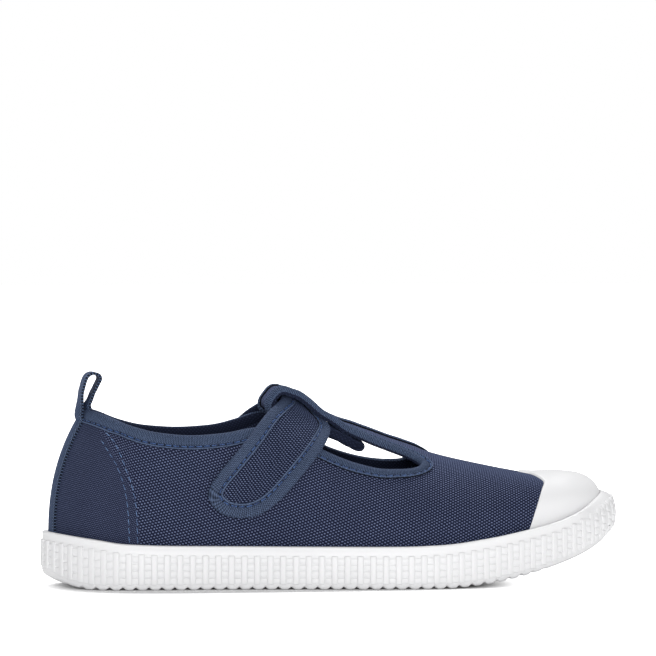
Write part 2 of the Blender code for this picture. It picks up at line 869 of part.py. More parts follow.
def strap_end(side, offset, level):
    """Lean at which a line along the strap starts from a level."""
    low = math.radians(2.0)
    high = math.radians(85.0)
    for _ in range(20):
        middle = 0.5 * (low + high)
        if strap_level(strap_spot(side, middle, offset)) < level:
            low = middle
        else:
            high = middle
    return low


def strap_line(offset):
    """One line along the strap, from the lateral tip to the medial root."""
    half = 0.5 * STRAP_WIDTH
    tip = tip_level_of(offset / half)
    line = []
    for side, level in ((1, tip), (-1, STRAP_ROOT)):
        leans = np.linspace(strap_end(side, offset, level), CREST_LEAN, 40)
        spots = [strap_spot(side, lean, offset) for lean in leans]
        line += spots if side == 1 else list(reversed(spots))
    line = np.array(line)
    reach = np.append(0.0, np.cumsum(np.linalg.norm(np.diff(line, axis=0), axis=1)))
    marks = np.linspace(0.0, reach[-1], STRAP_ROWS + 1)
    return [[np.interp(mark, reach, line[:, i]) for i in range(3)] for mark in marks]


def build_strap(canvas):
    """Closing strap: rounded lateral end, square medial end sewn to the quarter."""
    half = 0.5 * STRAP_WIDTH
    turns = np.linspace(0.0, math.pi, STRAP_STEPS + 1)
    lines = [strap_line(-half * math.cos(turn)) for turn in turns]
    verts = [line[k] for k in range(STRAP_ROWS + 1) for line in lines]
    strap = mesh_object("strap", verts, grid_faces(STRAP_ROWS + 1, STRAP_STEPS + 1), canvas)
    shift_outwards(strap, GAP)
    thicken(strap, STRAP_THICK, outwards=True)
    return strap


def heel_back(z, distance):
    """X of the heel's middle line at a height, moved outwards by a distance."""
    rib = RibLine(0.0)
    point = rib.point(rib.lean_at_height(z))
    ahead = rib.point(rib.lean_at_height(z + 0.5))
    slope = (ahead - point) / np.linalg.norm(ahead - point)
    return point[0] - slope[2] * distance, point[2] + slope[0] * distance


def heel_wrap(y, z):
    """How far the heel has turned forwards at a breadth and a height."""
    side = 1 if y < 0.0 else -1
    low = 0.0
    high = turn_of(10.0)
    for _ in range(30):
        middle = 0.5 * (low + high)
        rib = RibLine(side * middle % (2 * math.pi))
        if abs(rib.point(rib.lean_at_height(z))[1]) < abs(y):
            low = middle
        else:
            high = middle
    rib = RibLine(side * low % (2 * math.pi))
    return rib.point(rib.lean_at_height(z))[0] - heel_back(z, 0.0)[0]


def build_heel_tape(webbing):
    """Tape up the heel, over in a pull loop and down inside the collar."""
    outer = 1.3 * GAP + 0.5 * TAPE_THICK
    inner = -(CLOTH + 2.4 * GAP + 0.5 * TAPE_THICK)
    bottom = foxing_of(-0.5 * LENGTH) + 0.6
    up = [heel_back(z, outer) for z in np.linspace(bottom, HEEL_HEIGHT - 1.0, 9)]
    down = [heel_back(z, inner) for z in np.linspace(HEEL_HEIGHT - 2.0, HEEL_HEIGHT - TAPE_TUCK, 4)]
    knots = [up[-1]] + [(row.x, row.z) for row in PULL_LOOP] + [down[0]]
    reach = list(range(len(knots)))
    loop_x = hermite_curve(reach, [k[0] for k in knots])
    loop_z = hermite_curve(reach, [k[1] for k in knots])
    loop = [(loop_x(m), loop_z(m)) for m in np.linspace(0.0, reach[-1], 28)[1:]]
    path = up + loop + down[1:]
    verts = []
    for x, z in path:
        flat = min(max((z - HEEL_HEIGHT) / 6.0, 0.0), 1.0)
        for y in np.linspace(-0.5 * TAPE_WIDTH, 0.5 * TAPE_WIDTH, TAPE_STEPS + 1):
            wrap = heel_wrap(y, min(z, HEEL_HEIGHT)) * (1.0 - flat)
            verts.append((x + wrap, y, z))
    faces = grid_faces(len(path), TAPE_STEPS + 1)
    tape = mesh_object("heel_tape", verts, faces, webbing)
    thicken(tape, TAPE_THICK, outwards=False)
    tape.modifiers["wall"].offset = 0.0
    return tape


def main():
    for obj in list(bpy.data.objects):
        bpy.data.objects.remove(obj, do_unlink=True)
    rubber = material("white_rubber", (0.86, 0.86, 0.87), 0.42)
    cap_rubber = material("cap_rubber", (0.87, 0.87, 0.88), 0.38)
    canvas = material("navy_canvas", (0.020, 0.032, 0.085), 0.85)
    strap_cloth = material("strap_canvas", (0.022, 0.036, 0.095), 0.85)
    lining = material("navy_lining", (0.012, 0.018, 0.045), 0.9)
    webbing = material("steel_blue_tape", (0.045, 0.085, 0.19), 0.75)
    build_outsole(rubber)
    build_insole(lining)
    build_upper(canvas)
    build_toe_cap(cap_rubber)
    build_strap(strap_cloth)
    build_heel_tape(webbing)


main()
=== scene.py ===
"""Looks of the child's canvas T-bar plimsoll, right shoe.

X runs from heel to toe, +Y to the inner (medial) side, +Z up.  Sizes are in
millimetres; a point becomes metres when it goes into a mesh.
"""
import math
from collections import namedtuple

import bmesh
import bpy
import numpy as np
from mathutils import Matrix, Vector
from mathutils.bvhtree import BVHTree
from mathutils.interpolate import poly_3d_calc


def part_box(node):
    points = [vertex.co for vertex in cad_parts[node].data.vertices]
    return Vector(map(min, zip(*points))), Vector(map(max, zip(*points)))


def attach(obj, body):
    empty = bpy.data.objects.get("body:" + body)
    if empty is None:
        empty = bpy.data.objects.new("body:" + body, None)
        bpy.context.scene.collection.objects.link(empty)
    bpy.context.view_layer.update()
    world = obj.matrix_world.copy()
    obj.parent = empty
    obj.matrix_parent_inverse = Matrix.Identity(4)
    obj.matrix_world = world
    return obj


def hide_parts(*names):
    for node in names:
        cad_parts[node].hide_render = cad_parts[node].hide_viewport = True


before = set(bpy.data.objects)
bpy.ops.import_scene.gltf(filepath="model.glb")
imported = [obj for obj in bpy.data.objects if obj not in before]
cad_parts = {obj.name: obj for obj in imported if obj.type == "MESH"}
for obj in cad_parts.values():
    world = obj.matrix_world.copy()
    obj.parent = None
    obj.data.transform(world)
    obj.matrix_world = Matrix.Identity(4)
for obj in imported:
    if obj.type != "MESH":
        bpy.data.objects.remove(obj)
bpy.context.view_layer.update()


def rows_of(columns, *rows):
    """Rows of a table, with the names of its columns."""
    Row = namedtuple("Row", columns)
    return [Row(*row) for row in rows]


MM = 0.001
HALF_TURN = math.pi
QUARTER_TURN = 0.5 * math.pi
# Smoothing angle, in degrees, that takes in a whole piece.
WHOLE = 180.0

# Driving sizes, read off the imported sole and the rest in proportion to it.
sole_low, sole_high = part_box("outsole")
LENGTH = (sole_high.x - sole_low.x) / MM
BALL_WIDTH = 0.3684 * LENGTH
INSTEP_HEIGHT = 0.3187 * LENGTH
HEEL_HEIGHT = 0.3005 * LENGTH
GAP = 0.3
CLOTH = 1.6
FOXING_WALL = 4.3
LINING_TUCK = 3.0
CAP_WALL = 1.95
INSOLE_THICK = 3.2
STRAP_WIDTH = 20.4
TAPE_THICK = 1.0
TAPE_WIDTH = 10.0

# Across a section: lateral and medial half breadths of the sole's outer edge,
# in percent of the ball width, at a place in percent of the length.
PLAN = rows_of(
    "along lateral medial",
    (0.0, -0.6, 0.6), (2.5, 17.3, 18.0), (6.0, 27.0, 27.5), (12.0, 34.7, 35.3),
    (20.0, 37.5, 37.0), (30.0, 38.7, 35.6), (40.0, 42.0, 35.6), (50.0, 46.5, 38.5),
    (60.0, 49.9, 44.5), (70.0, 49.7, 49.5), (80.0, 45.6, 49.6), (88.0, 37.8, 45.6),
    (94.0, 27.6, 37.4), (97.5, 16.2, 27.6), (100.0, -5.8, 5.8))

# The last's ribs rise from the sole's edge to a spine: where each rib meets
# the spine, and how it spreads sideways and arches upwards.
RIBS = rows_of(
    "along spine spread arch",
    (0.0, 20.2, 2.25, 0.80), (6.0, 21.2, 2.00, 0.80), (12.0, 22.8, 1.60, 0.80),
    (20.0, 26.0, 1.20, 0.80), (30.0, 31.8, 1.05, 0.80), (40.0, 40.0, 1.05, 0.80),
    (50.0, 50.0, 1.20, 0.82), (60.0, 60.0, 1.35, 0.85), (70.0, 69.6, 1.10, 0.78),
    (80.0, 78.4, 0.80, 0.65), (88.0, 84.2, 0.62, 0.56), (94.0, 87.5, 0.66, 0.64),
    (100.0, 89.0, 0.74, 0.74))

# Spine of the last: height in percent of the instep height, and sideways
# swing in percent of the ball width.
CREST = rows_of(
    "along height swing",
    (20.2, 138.0, 0.0), (30.8, 114.0, 0.0), (37.5, 102.7, 0.0), (42.4, 98.6, 0.0),
    (45.2, 94.3, 0.0), (47.6, 89.9, 0.0), (50.0, 87.4, 0.0), (56.0, 82.4, 0.0),
    (62.5, 75.4, 0.4), (69.7, 68.5, 1.5), (76.9, 63.3, 3.0), (81.7, 60.0, 4.0),
    (85.6, 57.5, 4.8), (89.4, 56.5, 5.4))

# Sole heights in millimetres: underside, floor of the cup, top of the foxing.
SOLE = rows_of(
    "along under floor foxing",
    (0.0, 5.5, 7.5, 20.0), (2.9, 2.4, 7.0, 19.3), (8.2, 0.0, 7.0, 17.8), (13.5, 0.0, 6.5, 16.2),
    (23.6, 0.0, 6.5, 15.5), (59.6, 0.0, 6.5, 15.0), (66.3, 0.0, 6.5, 15.4),
    (75.0, 1.5, 7.5, 17.6), (80.3, 3.6, 9.0, 19.6), (87.0, 7.2, 12.0, 22.6),
    (92.3, 10.8, 15.3, 26.4), (96.2, 14.2, 18.6, 30.5), (100.0, 19.0, 23.0, 34.3))

# Top edge of the lateral and medial quarters, in percent of the heel height.
TOPLINE = rows_of(
    "along lateral medial",
    (5.8, 100.6, 100.6), (7.2, 99.4, 100.0), (10.1, 96.4, 97.5), (14.4, 90.3, 92.0),
    (19.2, 86.2, 88.2), (25.0, 84.5, 86.9), (30.8, 85.8, 88.2), (35.6, 88.7, 92.4),
    (38.6, 89.4, 96.2), (41.4, 87.1, 96.6), (44.8, 80.9, 87.8), (48.3, 74.7, 79.8),
    (53.2, 68.4, 72.9), (58.2, 65.1, 68.9), (61.0, 65.0, 67.9))

# T-bar: half width in percent of the ball width, and how far it stands off
# the last to clear the strap, in millimetres.
T_BAR = rows_of(
    "along half lift",
    (42.3, 13.6, 4.4), (43.6, 13.8, 4.2), (44.4, 13.9, 3.9), (45.4, 14.1, 3.5),
    (46.5, 14.2, 2.9), (47.6, 14.3, 2.45), (48.6, 14.4, 2.2), (49.3, 14.5, 2.0),
    (49.9, 14.6, 1.65), (51.1, 14.8, 1.1), (52.4, 15.1, 0.6), (54.2, 15.5, 0.4),
    (57.0, 16.0, 0.0), (61.0, 17.1, 0.0))
BAR_REAR = 42.3

# The T-bar is drawn tight between the vamp and the strap: how far it is
# pulled up level with its middle line on each side, as a share.
LEVELS = rows_of(
    "along lateral medial",
    (42.3, 0.95, 0.95), (49.0, 0.90, 1.10), (53.0, 0.58, 1.18), (57.0, 0.42, 1.20),
    (61.0, 0.38, 1.18), (63.5, 0.26, 1.22), (66.0, 0.08, 1.22), (69.0, 0.00, 0.70),
    (73.0, 0.00, 0.00))
LEVEL_FADE = 1.55
LEVEL_START = {1: 24.0, -1: 29.5}
LEVEL_RUN = 6.5
OPENING_ROUND = 61.3
OPENING_FRONT = {1: 65.6, -1: 67.8}

# The T-bar's end goes round the strap's rear edge: outer face of the fold, in
# millimetres.
FOLD = rows_of(
    "x z",
    (-19.1, 70.6), (-21.6, 68.4), (-23.5, 65.7), (-23.3, 64.0), (-20.4, 63.9))

# It then runs forwards as a flap: how far its lower face lies beneath the
# last, straight down, and its breadth to each side as a share of the T-bar's.
FLAP = rows_of(
    "x under lateral medial",
    (-20.4, 2.8, 0.88, 0.70), (-16.0, 2.7, 0.86, 0.66), (-10.0, 2.8, 0.88, 0.64),
    (-5.0, 2.0, 0.94, 0.62), (2.0, 2.3, 0.98, 0.66), (8.0, 4.8, 0.84, 0.60),
    (11.0, 6.3, 0.46, 0.12))

# Rear edge of the toe cap: height above the foxing in percent of the way up
# to the crest, and place in percent of the length.
CAP_EDGE = rows_of(
    "up along",
    (0.0, 82.4), (17.0, 83.8), (36.0, 85.4), (42.0, 85.9), (46.0, 86.0), (50.0, 85.8),
    (57.0, 85.4), (72.0, 84.8), (88.0, 84.0), (100.0, 83.7))

# Strap: its middle line lies in a plane square to the instep, which slopes by
# a pitch, and a little yawed.  Its ends are levels up its own slope.
STRAP_CROSSING = np.array([-8.9, 0.0, 63.6])
STRAP_PITCH = math.radians(43.0)
STRAP_YAW = math.radians(-4.0)
STRAP_ROOT = 19.5

# Under the T-bar the strap is gathered: leans between which it narrows, and by
# how much, behind its middle line and in front of it.
GATHERS = rows_of(
    "start full share",
    (50.0, 78.0, 0.25), (60.0, 86.0, 0.72))

# Free end of the strap: level of its outline, from the rear edge at -1 to the
# front edge at 1.
STRAP_TIP = rows_of(
    "across level",
    (-1.00, -1.0), (-0.95, -5.3), (-0.82, -7.7), (-0.57, -9.1), (-0.24, -9.3), (0.13, -7.9),
    (0.47, -5.4), (0.72, -2.3), (0.91, 2.2), (1.00, 7.5))

# Pull loop above the heel, middle of the tape, in millimetres.
PULL_LOOP = rows_of(
    "x z",
    (-91.0, 61.2), (-90.3, 65.0), (-88.9, 70.2), (-87.9, 73.6), (-86.8, 75.2), (-85.1, 75.8),
    (-83.2, 75.2), (-82.7, 73.8), (-83.5, 72.0), (-84.8, 69.4), (-86.6, 66.4), (-87.9, 63.9))
TAPE_TUCK = 8.0

# A hair beside the last's crest and short of its top, where rays and planes
# meet it cleanly, and the middle of the shoe.
OFF_CREST = 0.01
CREST_LEAN = math.radians(89.5)
CENTRE = Vector((0.0, 0.0, 30.0))


def place(along):
    """Length percentage as an X coordinate."""
    return (along / 100.0 - 0.5) * LENGTH


def part_of(x, low, high):
    """How far a number has gone from low to high, 0 to 1."""
    return min(max((x - low) / (high - low), 0.0), 1.0)


def eased(part):
    """A soft step: 0 below 0 and 1 above 1, for a number or a table."""
    part = np.clip(part, 0.0, 1.0)
    return part * part * (3.0 - 2.0 * part)


def halve(low, high, steps, holds):
    """The place up to which a test holds, found by halving a span."""
    for _ in range(steps):
        middle = 0.5 * (low + high)
        if holds(middle):
            low = middle
        else:
            high = middle
    return low


def sloped_curve(xs, ys, slope):
    """Cubic pieces through points, with a slope at each."""
    def value(x):
        x = min(max(x, xs[0]), xs[-1])
        i = min(int(np.searchsorted(xs, x, side="right")) - 1, len(xs) - 2)
        h = xs[i + 1] - xs[i]
        t = (x - xs[i]) / h
        start = ys[i] * (1 + 2 * t) * (1 - t) ** 2 + ys[i + 1] * t * t * (3 - 2 * t)
        return start + (slope[i] * t * (1 - t) ** 2 - slope[i + 1] * t * t * (1 - t)) * h

    return value


def soft_curve(xs, ys):
    """Curve through the rows of a table that never overshoots them."""
    xs, ys = np.array(xs, float), np.array(ys, float)
    step = np.diff(xs)
    rise = np.diff(ys) / step
    slope = np.zeros(len(xs))
    slope[0], slope[-1] = rise[0], rise[-1]
    for i in range(1, len(xs) - 1):
        if rise[i - 1] * rise[i] > 0.0:
            near = 2.0 * step[i] + step[i - 1]
            far = step[i] + 2.0 * step[i - 1]
            slope[i] = (near + far) / (near / rise[i - 1] + far / rise[i])
    return sloped_curve(xs, ys, slope)


def free_curve(xs, ys):
    """Smooth curve through points, with slopes taken from their neighbours."""
    xs, ys = np.array(xs, float), np.array(ys, float)
    return sloped_curve(xs, ys, np.gradient(ys, xs))


def free_path(knots):
    """X and Z of a path through knots of one step each, and its last step."""
    steps = range(len(knots))
    curves = [free_curve(steps, [knot[k] for knot in knots]) for k in (0, 1)]
    return curves[0], curves[1], steps[-1]


def closed_spline(angles, values):
    """Cubic through values round a full turn."""
    count = len(angles)
    angles = np.append(angles, angles[0] + 2 * HALF_TURN)
    values = np.append(values, values[0])
    step = np.diff(angles)
    back = np.roll(step, 1)
    jump = np.diff(values) / step
    matrix = np.diag(2.0 * (back + step))
    for i in range(count):
        matrix[i, i - 1] += back[i]
        matrix[i, (i + 1) % count] += step[i]
    bend = np.linalg.solve(matrix, 6.0 * (jump - np.roll(jump, 1)))
    bend = np.append(bend, bend[0])

    def value(angle):
        angle = angle % (2 * HALF_TURN)
        i = min(int(np.searchsorted(angles, angle, side="right")) - 1, count - 1)
        h = step[i]
        a = (angles[i + 1] - angle) / h
        b = 1.0 - a
        curve = ((a ** 3 - a) * bend[i] + (b ** 3 - b) * bend[i + 1]) * h * h / 6.0
        return a * values[i] + b * values[i + 1] + curve

    return value


def turn_of(along):
    """Angle round the outline, 0 at the heel and pi at the toe."""
    return math.acos(1.0 - along / 50.0)


def outline_table():
    """Sideways place of the sole's edge at each turn round the outline."""
    turns = [turn_of(row.along) for row in PLAN]
    turns += [2 * HALF_TURN - turn for turn in turns[-2:0:-1]]
    sides = [-row.lateral for row in PLAN] + [row.medial for row in PLAN[-2:0:-1]]
    return closed_spline(turns, np.array(sides) * BALL_WIDTH / 100.0)


edge_y = outline_table()


def column_of(rows, name):
    """One column of a table; a place along the length becomes an X coordinate."""
    values = [getattr(row, name) for row in rows]
    return [place(value) for value in values] if name in ("along", "spine") else values


def table_curve(rows, name, scale=1.0, by="along"):
    """Soft curve through one column of a table, by another."""
    return soft_curve(column_of(rows, by), [v * scale for v in column_of(rows, name)])


spine_of = table_curve(RIBS, "spine")
spread_of = table_curve(RIBS, "spread")
arch_of = table_curve(RIBS, "arch")
crest_of = table_curve(CREST, "height", INSTEP_HEIGHT / 100.0)
swing_of = table_curve(CREST, "swing", BALL_WIDTH / 100.0)
under_of = table_curve(SOLE, "under")
floor_of = table_curve(SOLE, "floor")
foxing_of = table_curve(SOLE, "foxing")
topline_of = {1: table_curve(TOPLINE, "lateral", HEEL_HEIGHT / 100.0),
              -1: table_curve(TOPLINE, "medial", HEEL_HEIGHT / 100.0)}
bar_half_of = table_curve(T_BAR, "half", BALL_WIDTH / 100.0)
bar_lift_of = table_curve(T_BAR, "lift")
level_of = {1: table_curve(LEVELS, "lateral"), -1: table_curve(LEVELS, "medial")}
tip_level_of = table_curve(STRAP_TIP, "level", by="across")


def outline(turn, inset=0.0):
    """Point on the sole's outer edge, moved inwards by an inset."""
    d = 1e-4
    tangent_x = 0.5 * LENGTH * math.sin(turn)
    tangent_y = (edge_y(turn + d) - edge_y(turn - d)) / (2 * d)
    size = math.hypot(tangent_x, tangent_y)
    x = -0.5 * LENGTH * math.cos(turn) - tangent_y / size * inset
    y = edge_y(turn) + tangent_x / size * inset
    return x, y


class RibLine:
    """One rib of the last: a rounded curve from the sole's edge to the spine."""

    def __init__(self, turn):
        turn %= 2 * HALF_TURN
        self.x0, self.y0 = outline(turn, FOXING_WALL + GAP)
        self.station = -0.5 * LENGTH * math.cos(turn)
        self.side = 1 if turn <= HALF_TURN else -1
        self.z0 = foxing_of(self.x0) - LINING_TUCK
        self.x1 = spine_of(self.station)
        self.y1 = swing_of(self.x1)
        self.z1 = crest_of(self.x1)
        self.spread = spread_of(self.station)
        self.arch = arch_of(self.station)

    def point(self, lean):
        """Point at a lean of 0 (upright, at the sole) to 90 degrees (spine)."""
        out = max(math.cos(lean), 0.0) ** self.spread
        up = math.sin(lean) ** self.arch
        return np.array([self.x1 + (self.x0 - self.x1) * out,
                         self.y1 + (self.y0 - self.y1) * out,
                         self.z0 + (self.z1 - self.z0) * up])

    def lean_at_height(self, z):
        return math.asin(part_of(z, self.z0, self.z1) ** (1.0 / self.arch))

    def lean_at_half(self, half):
        part = min(half / abs(self.y0 - self.y1), 1.0)
        return math.acos(part ** (1.0 / self.spread))

    def at_height(self, z):
        return self.point(self.lean_at_height(z))

    def lean_at_topline(self):
        """Lean at which the rib meets the quarter's top edge."""
        def below(lean):
            x, _, z = self.point(lean)
            return z < topline_of[self.side](x)
        return halve(0.0, QUARTER_TURN, 40, below)

    def walk(self, start, end, steps):
        """Points spaced evenly along the rib between two leans."""
        fine = np.linspace(0.0, QUARTER_TURN, 60)[:-1]
        leans = [math.acos(math.cos(f) ** (1.0 / self.spread)) for f in fine]
        leans += [math.asin(math.sin(f) ** (1.0 / self.arch)) for f in fine]
        leans = sorted([start, end] + [f for f in leans if start < f < end])
        return resample([self.point(f) for f in leans], steps + 1)


def reach_along(path):
    """Distance along a line of points, at each point."""
    steps = np.linalg.norm(np.diff(path, axis=0), axis=1)
    return np.append(0.0, np.cumsum(steps))


def at_reach(line, reach, mark):
    """Point of a line at a distance along it, or points at many."""
    return np.stack([np.interp(mark, reach, line[:, k]) for k in range(3)], axis=-1)


def resample(path, count):
    """The same line with evenly spaced points."""
    path = np.array(path, float)
    reach = reach_along(path)
    return at_reach(path, reach, np.linspace(0.0, reach[-1], count))


def opening_leans(rib):
    """Leans of the quarter's edge and of the T-bar's edge on one rib."""
    station = rib.station
    start = place(OPENING_ROUND)
    end = place(OPENING_FRONT[rib.side])
    if station <= start:
        low = rib.lean_at_topline()
        if station < place(BAR_REAR) - 0.01:
            return low, None
        return low, rib.lean_at_half(bar_half_of(station))
    low = rib.lean_at_height(topline_of[rib.side](start))
    high = rib.lean_at_half(bar_half_of(start))
    middle = 0.5 * (low + high)
    if station >= end - 0.01:
        return middle, middle
    part = (station - start) / (end - start)
    half = 0.5 * (high - low) * math.sqrt(1.0 - part * part)
    return middle - half, middle + half


def drawn_level(points, side):
    """Points near the middle line, pulled up towards the T-bar's own height."""
    moved = []
    for x, y, z in points:
        reach = abs(y - swing_of(x)) / bar_half_of(x)
        share = level_of[side](x) * eased((LEVEL_FADE - reach) / (LEVEL_FADE - 1.0))
        moved.append(np.array([x, y, z + (crest_of(x) - z) * share]))
    return np.array(moved)


def lifted(bar, distance):
    """T-bar points moved off the last, square to its surface."""
    if distance <= 0.0:
        return bar
    x = bar[-1][0]
    along = np.array([1.0, 0.0, crest_of(x + 0.5) - crest_of(x - 0.5)])
    moved = []
    for i, point in enumerate(bar):
        if i == len(bar) - 1:
            normal = np.array([-along[2], 0.0, 1.0])
        else:
            across = bar[i + 1] - bar[max(i - 1, 0)]
            normal = np.cross(along, across)
            normal = normal * math.copysign(1.0, normal[2])
        moved.append(point + normal / np.linalg.norm(normal) * distance)
    return np.array(moved)


def outwards(table):
    """Directions that face away from the shoe's middle, at each point of a sheet."""
    out = np.cross(np.gradient(table, axis=1), np.gradient(table, axis=0))
    if np.sum(out * (table - np.array(CENTRE))) < 0.0:
        out = -out
    return out / np.maximum(np.linalg.norm(out, axis=2, keepdims=True), 1e-9)


class Skin:
    """Sheets that other pieces are laid on: the nearest place, and which way is out."""

    def __init__(self, *tables):
        self.verts = []
        self.normals = []
        self.faces = []
        for table in tables:
            deep, wide = table.shape[:2]
            first = len(self.verts)
            self.verts += [Vector(p) for p in table.reshape(-1, 3)]
            self.normals += [Vector(n) for n in outwards(table).reshape(-1, 3)]
            for i in range(deep - 1):
                for a in range(first + i * wide, first + (i + 1) * wide - 1):
                    self.faces.append((a, a + 1, a + wide + 1, a + wide))
        self.tree = BVHTree.FromPolygons(self.verts, self.faces)

    def at(self, point):
        """Nearest place on the sheets, and the direction that faces out there."""
        spot, _, face, _ = self.tree.find_nearest(Vector(point))
        return spot, self.out_at(spot, face)

    def out_at(self, spot, face):
        corners = self.faces[face]
        weights = poly_3d_calc([self.verts[c] for c in corners], spot)
        out = Vector()
        for corner, weight in zip(corners, weights):
            out += weight * self.normals[corner]
        return out.normalized()

    def seen_from(self, side, x, z):
        """Place met by a line across the shoe, coming from one side."""
        start = Vector((x, -side * BALL_WIDTH, z))
        spot, _, face, _ = self.tree.ray_cast(start, Vector((0.0, side, 0.0)))
        return spot, self.out_at(spot, face)


LAST_RIBS = 200
LAST_STEPS = 50


def last_table():
    leans = np.linspace(0.0, QUARTER_TURN, LAST_STEPS + 1)
    turns = np.linspace(0.0, 2.0 * HALF_TURN, 2 * LAST_RIBS + 1)
    return np.array([[rib.point(lean) for lean in leans] for rib in map(RibLine, turns)])


last = Skin(last_table())


def last_height(x, y):
    """Height of the last above a place on the plan."""
    above = Vector((x, y + OFF_CREST, 2.0 * INSTEP_HEIGHT))
    return last.tree.ray_cast(above, Vector((0.0, 0.0, -1.0)))[0].z


def alone(*pieces):
    """Select only these pieces; the first is the active one."""
    bpy.ops.object.select_all(action="DESELECT")
    for piece in pieces:
        piece.select_set(True)
    if pieces:
        bpy.context.view_layer.objects.active = pieces[0]


def in_edit(piece, *steps, action="SELECT"):
    """Edit-mode work over the whole of a piece, or with nothing of it selected."""
    alone(piece)
    bpy.ops.object.mode_set(mode="EDIT")
    bpy.ops.mesh.select_all(action=action)
    for step in steps:
        step()
    bpy.ops.object.mode_set(mode="OBJECT")


def merge_doubles():
    bpy.ops.mesh.remove_doubles(threshold=0.002 * MM)


def turn_outwards():
    bpy.ops.mesh.normals_make_consistent(inside=False)


def set_up(thing, settings):
    for key, value in settings.items():
        setattr(thing, key, value)
    return thing


def finish_with(piece, kind, **settings):
    """Add a modifier to a piece and apply it."""
    modifier = set_up(piece.modifiers.new(kind.lower(), kind), settings)
    alone(piece)
    bpy.ops.object.modifier_apply(modifier=modifier.name)


def thicken(piece, thickness, offset, lining=0):
    finish_with(piece, "SOLIDIFY", thickness=thickness * MM, offset=offset,
                use_quality_normals=True, material_offset=lining)


def join(name, pieces):
    alone(*pieces)
    bpy.ops.object.join()
    pieces[0].name = pieces[0].data.name = name
    return pieces[0]


def dress(piece, angle, *materials):
    """Give a piece its finishes, and smooth it where faces meet below an angle."""
    for material in materials:
        piece.data.materials.append(material)
    alone(piece)
    if angle >= WHOLE:
        bpy.ops.object.shade_smooth()
    else:
        bpy.ops.object.shade_smooth_by_angle(angle=math.radians(angle))
    return piece


def flat_grain(table, deep=0, wide=0):
    """Distances across and along a table of points, for a weave to follow."""
    return np.stack(np.meshgrid(reach_along(table[deep]), reach_along(table[:, wide])), axis=2)


def sheet(name, table, grain=None, flip=None):
    """Cloth cut flat as a grid, then laid through a table of points."""
    table = np.array(table, float)
    deep, wide = table.shape[:2]
    alone()
    bpy.ops.mesh.primitive_grid_add(x_subdivisions=wide - 1, y_subdivisions=deep - 1,
                                    size=LENGTH * MM, location=(0.0, 0.0, 0.0))
    piece = bpy.context.object
    piece.name = piece.data.name = name
    mesh = piece.data
    mesh.vertices.foreach_set("co", (table * MM).ravel())
    grain = flat_grain(table, deep // 2, wide // 2) if grain is None else np.array(grain, float)
    corner = np.zeros(len(mesh.loops), int)
    mesh.loops.foreach_get("vertex_index", corner)
    mesh.uv_layers[0].data.foreach_set("uv", grain.reshape(-1, 2)[corner].ravel())
    mesh.update()
    if flip is None:
        centre = CENTRE * MM
        flip = sum(f.area * f.normal.dot(f.center - centre) for f in mesh.polygons) < 0.0
    if flip:
        in_edit(piece, bpy.ops.mesh.flip_normals)
    return piece


def copies(name, model, frames, stretch=None, inset_of=None):
    """One mesh of many copies of a model, each set in its own frame."""
    shape = np.array([v.co for v in model.data.vertices]) / MM
    model_faces = [tuple(f.vertices) for f in model.data.polygons]
    verts = []
    faces = []
    for k, (origin, *axes) in enumerate(frames):
        points = shape.copy()
        if stretch is not None:
            points[:, 2] += np.where(points[:, 2] > 0.0, stretch[k], 0.0)
        laid = origin + points @ np.array(axes)
        if inset_of is not None:
            laid -= np.array([[inset_of(x, z)] for x, _, z in laid]) * axes[0]
        faces += [tuple(v + len(verts) for v in f) for f in model_faces]
        verts += [tuple(p) for p in laid * MM]
    mesh = bpy.data.meshes.new(name)
    mesh.from_pydata(verts, [], faces)
    piece = bpy.data.objects.new(name, mesh)
    bpy.context.scene.collection.objects.link(piece)
    bpy.data.objects.remove(model)
    return piece


def capsule(length, thick):
    """A short thread with rounded ends, lying along X."""
    alone()
    bpy.ops.mesh.primitive_uv_sphere_add(segments=8, ring_count=6, radius=0.5 * thick * MM,
                                         rotation=(0.0, QUARTER_TURN, 0.0))
    model = bpy.context.object
    bpy.ops.object.transform_apply(location=True, rotation=True, scale=True)
    for vert in model.data.vertices:
        vert.co.x += math.copysign(0.5 * (length - thick) * MM, vert.co.x)
    return model


def stitch(name, length, thick, frames, thread):
    """A row of stitches, each a short thread of its own."""
    return dress(copies(name, capsule(length, thick), frames), WHOLE, thread)


STITCH_LOOK = 0.6
LAST_STITCH = 0.4


def frames_along(path, outs, pitch, start=0.0, height=0.0, slant=0.0):
    """Places and axes for stitches spaced along a line that lies on the shoe."""
    path, outs = np.array(path, float), np.array(outs, float)
    reach = reach_along(path)
    frames = []
    mark = start
    while mark < reach[-1] - LAST_STITCH * pitch:
        up = at_reach(outs, reach, mark)
        up /= np.linalg.norm(up)
        ahead = at_reach(path, reach, mark + STITCH_LOOK)
        ahead -= at_reach(path, reach, mark - STITCH_LOOK)
        ahead -= up * np.dot(ahead, up)
        ahead /= np.linalg.norm(ahead)
        turned = ahead * math.cos(slant) + np.cross(up, ahead) * math.sin(slant)
        spot = at_reach(path, reach, mark) + up * height
        frames.append((spot, turned, np.cross(up, turned), up))
        mark += pitch
    return frames


# ---- upper ----

# Places where the spacing of the upper's ribs changes, in percent of the length.
HEEL_END = 12.0
WAIST = 40.0
TOE_START = 84.0
QUARTER_ROWS = 26
BAR_ROWS = 10
FOLD_ROWS = 24
FLAP_ROWS = 20
FLAP_TURNS_AT = 4.0 / 9.0
# The weft runs round a far centre above the shoe; behind the counter's seam
# the weave is closer.
GRAIN_CENTRE = (115.0, 629.0)
GRAIN_RADIUS = 618.0
HEEL_WRAP = -60.0
COUNTER = -73.5
COUNTER_CLOSER = 0.74


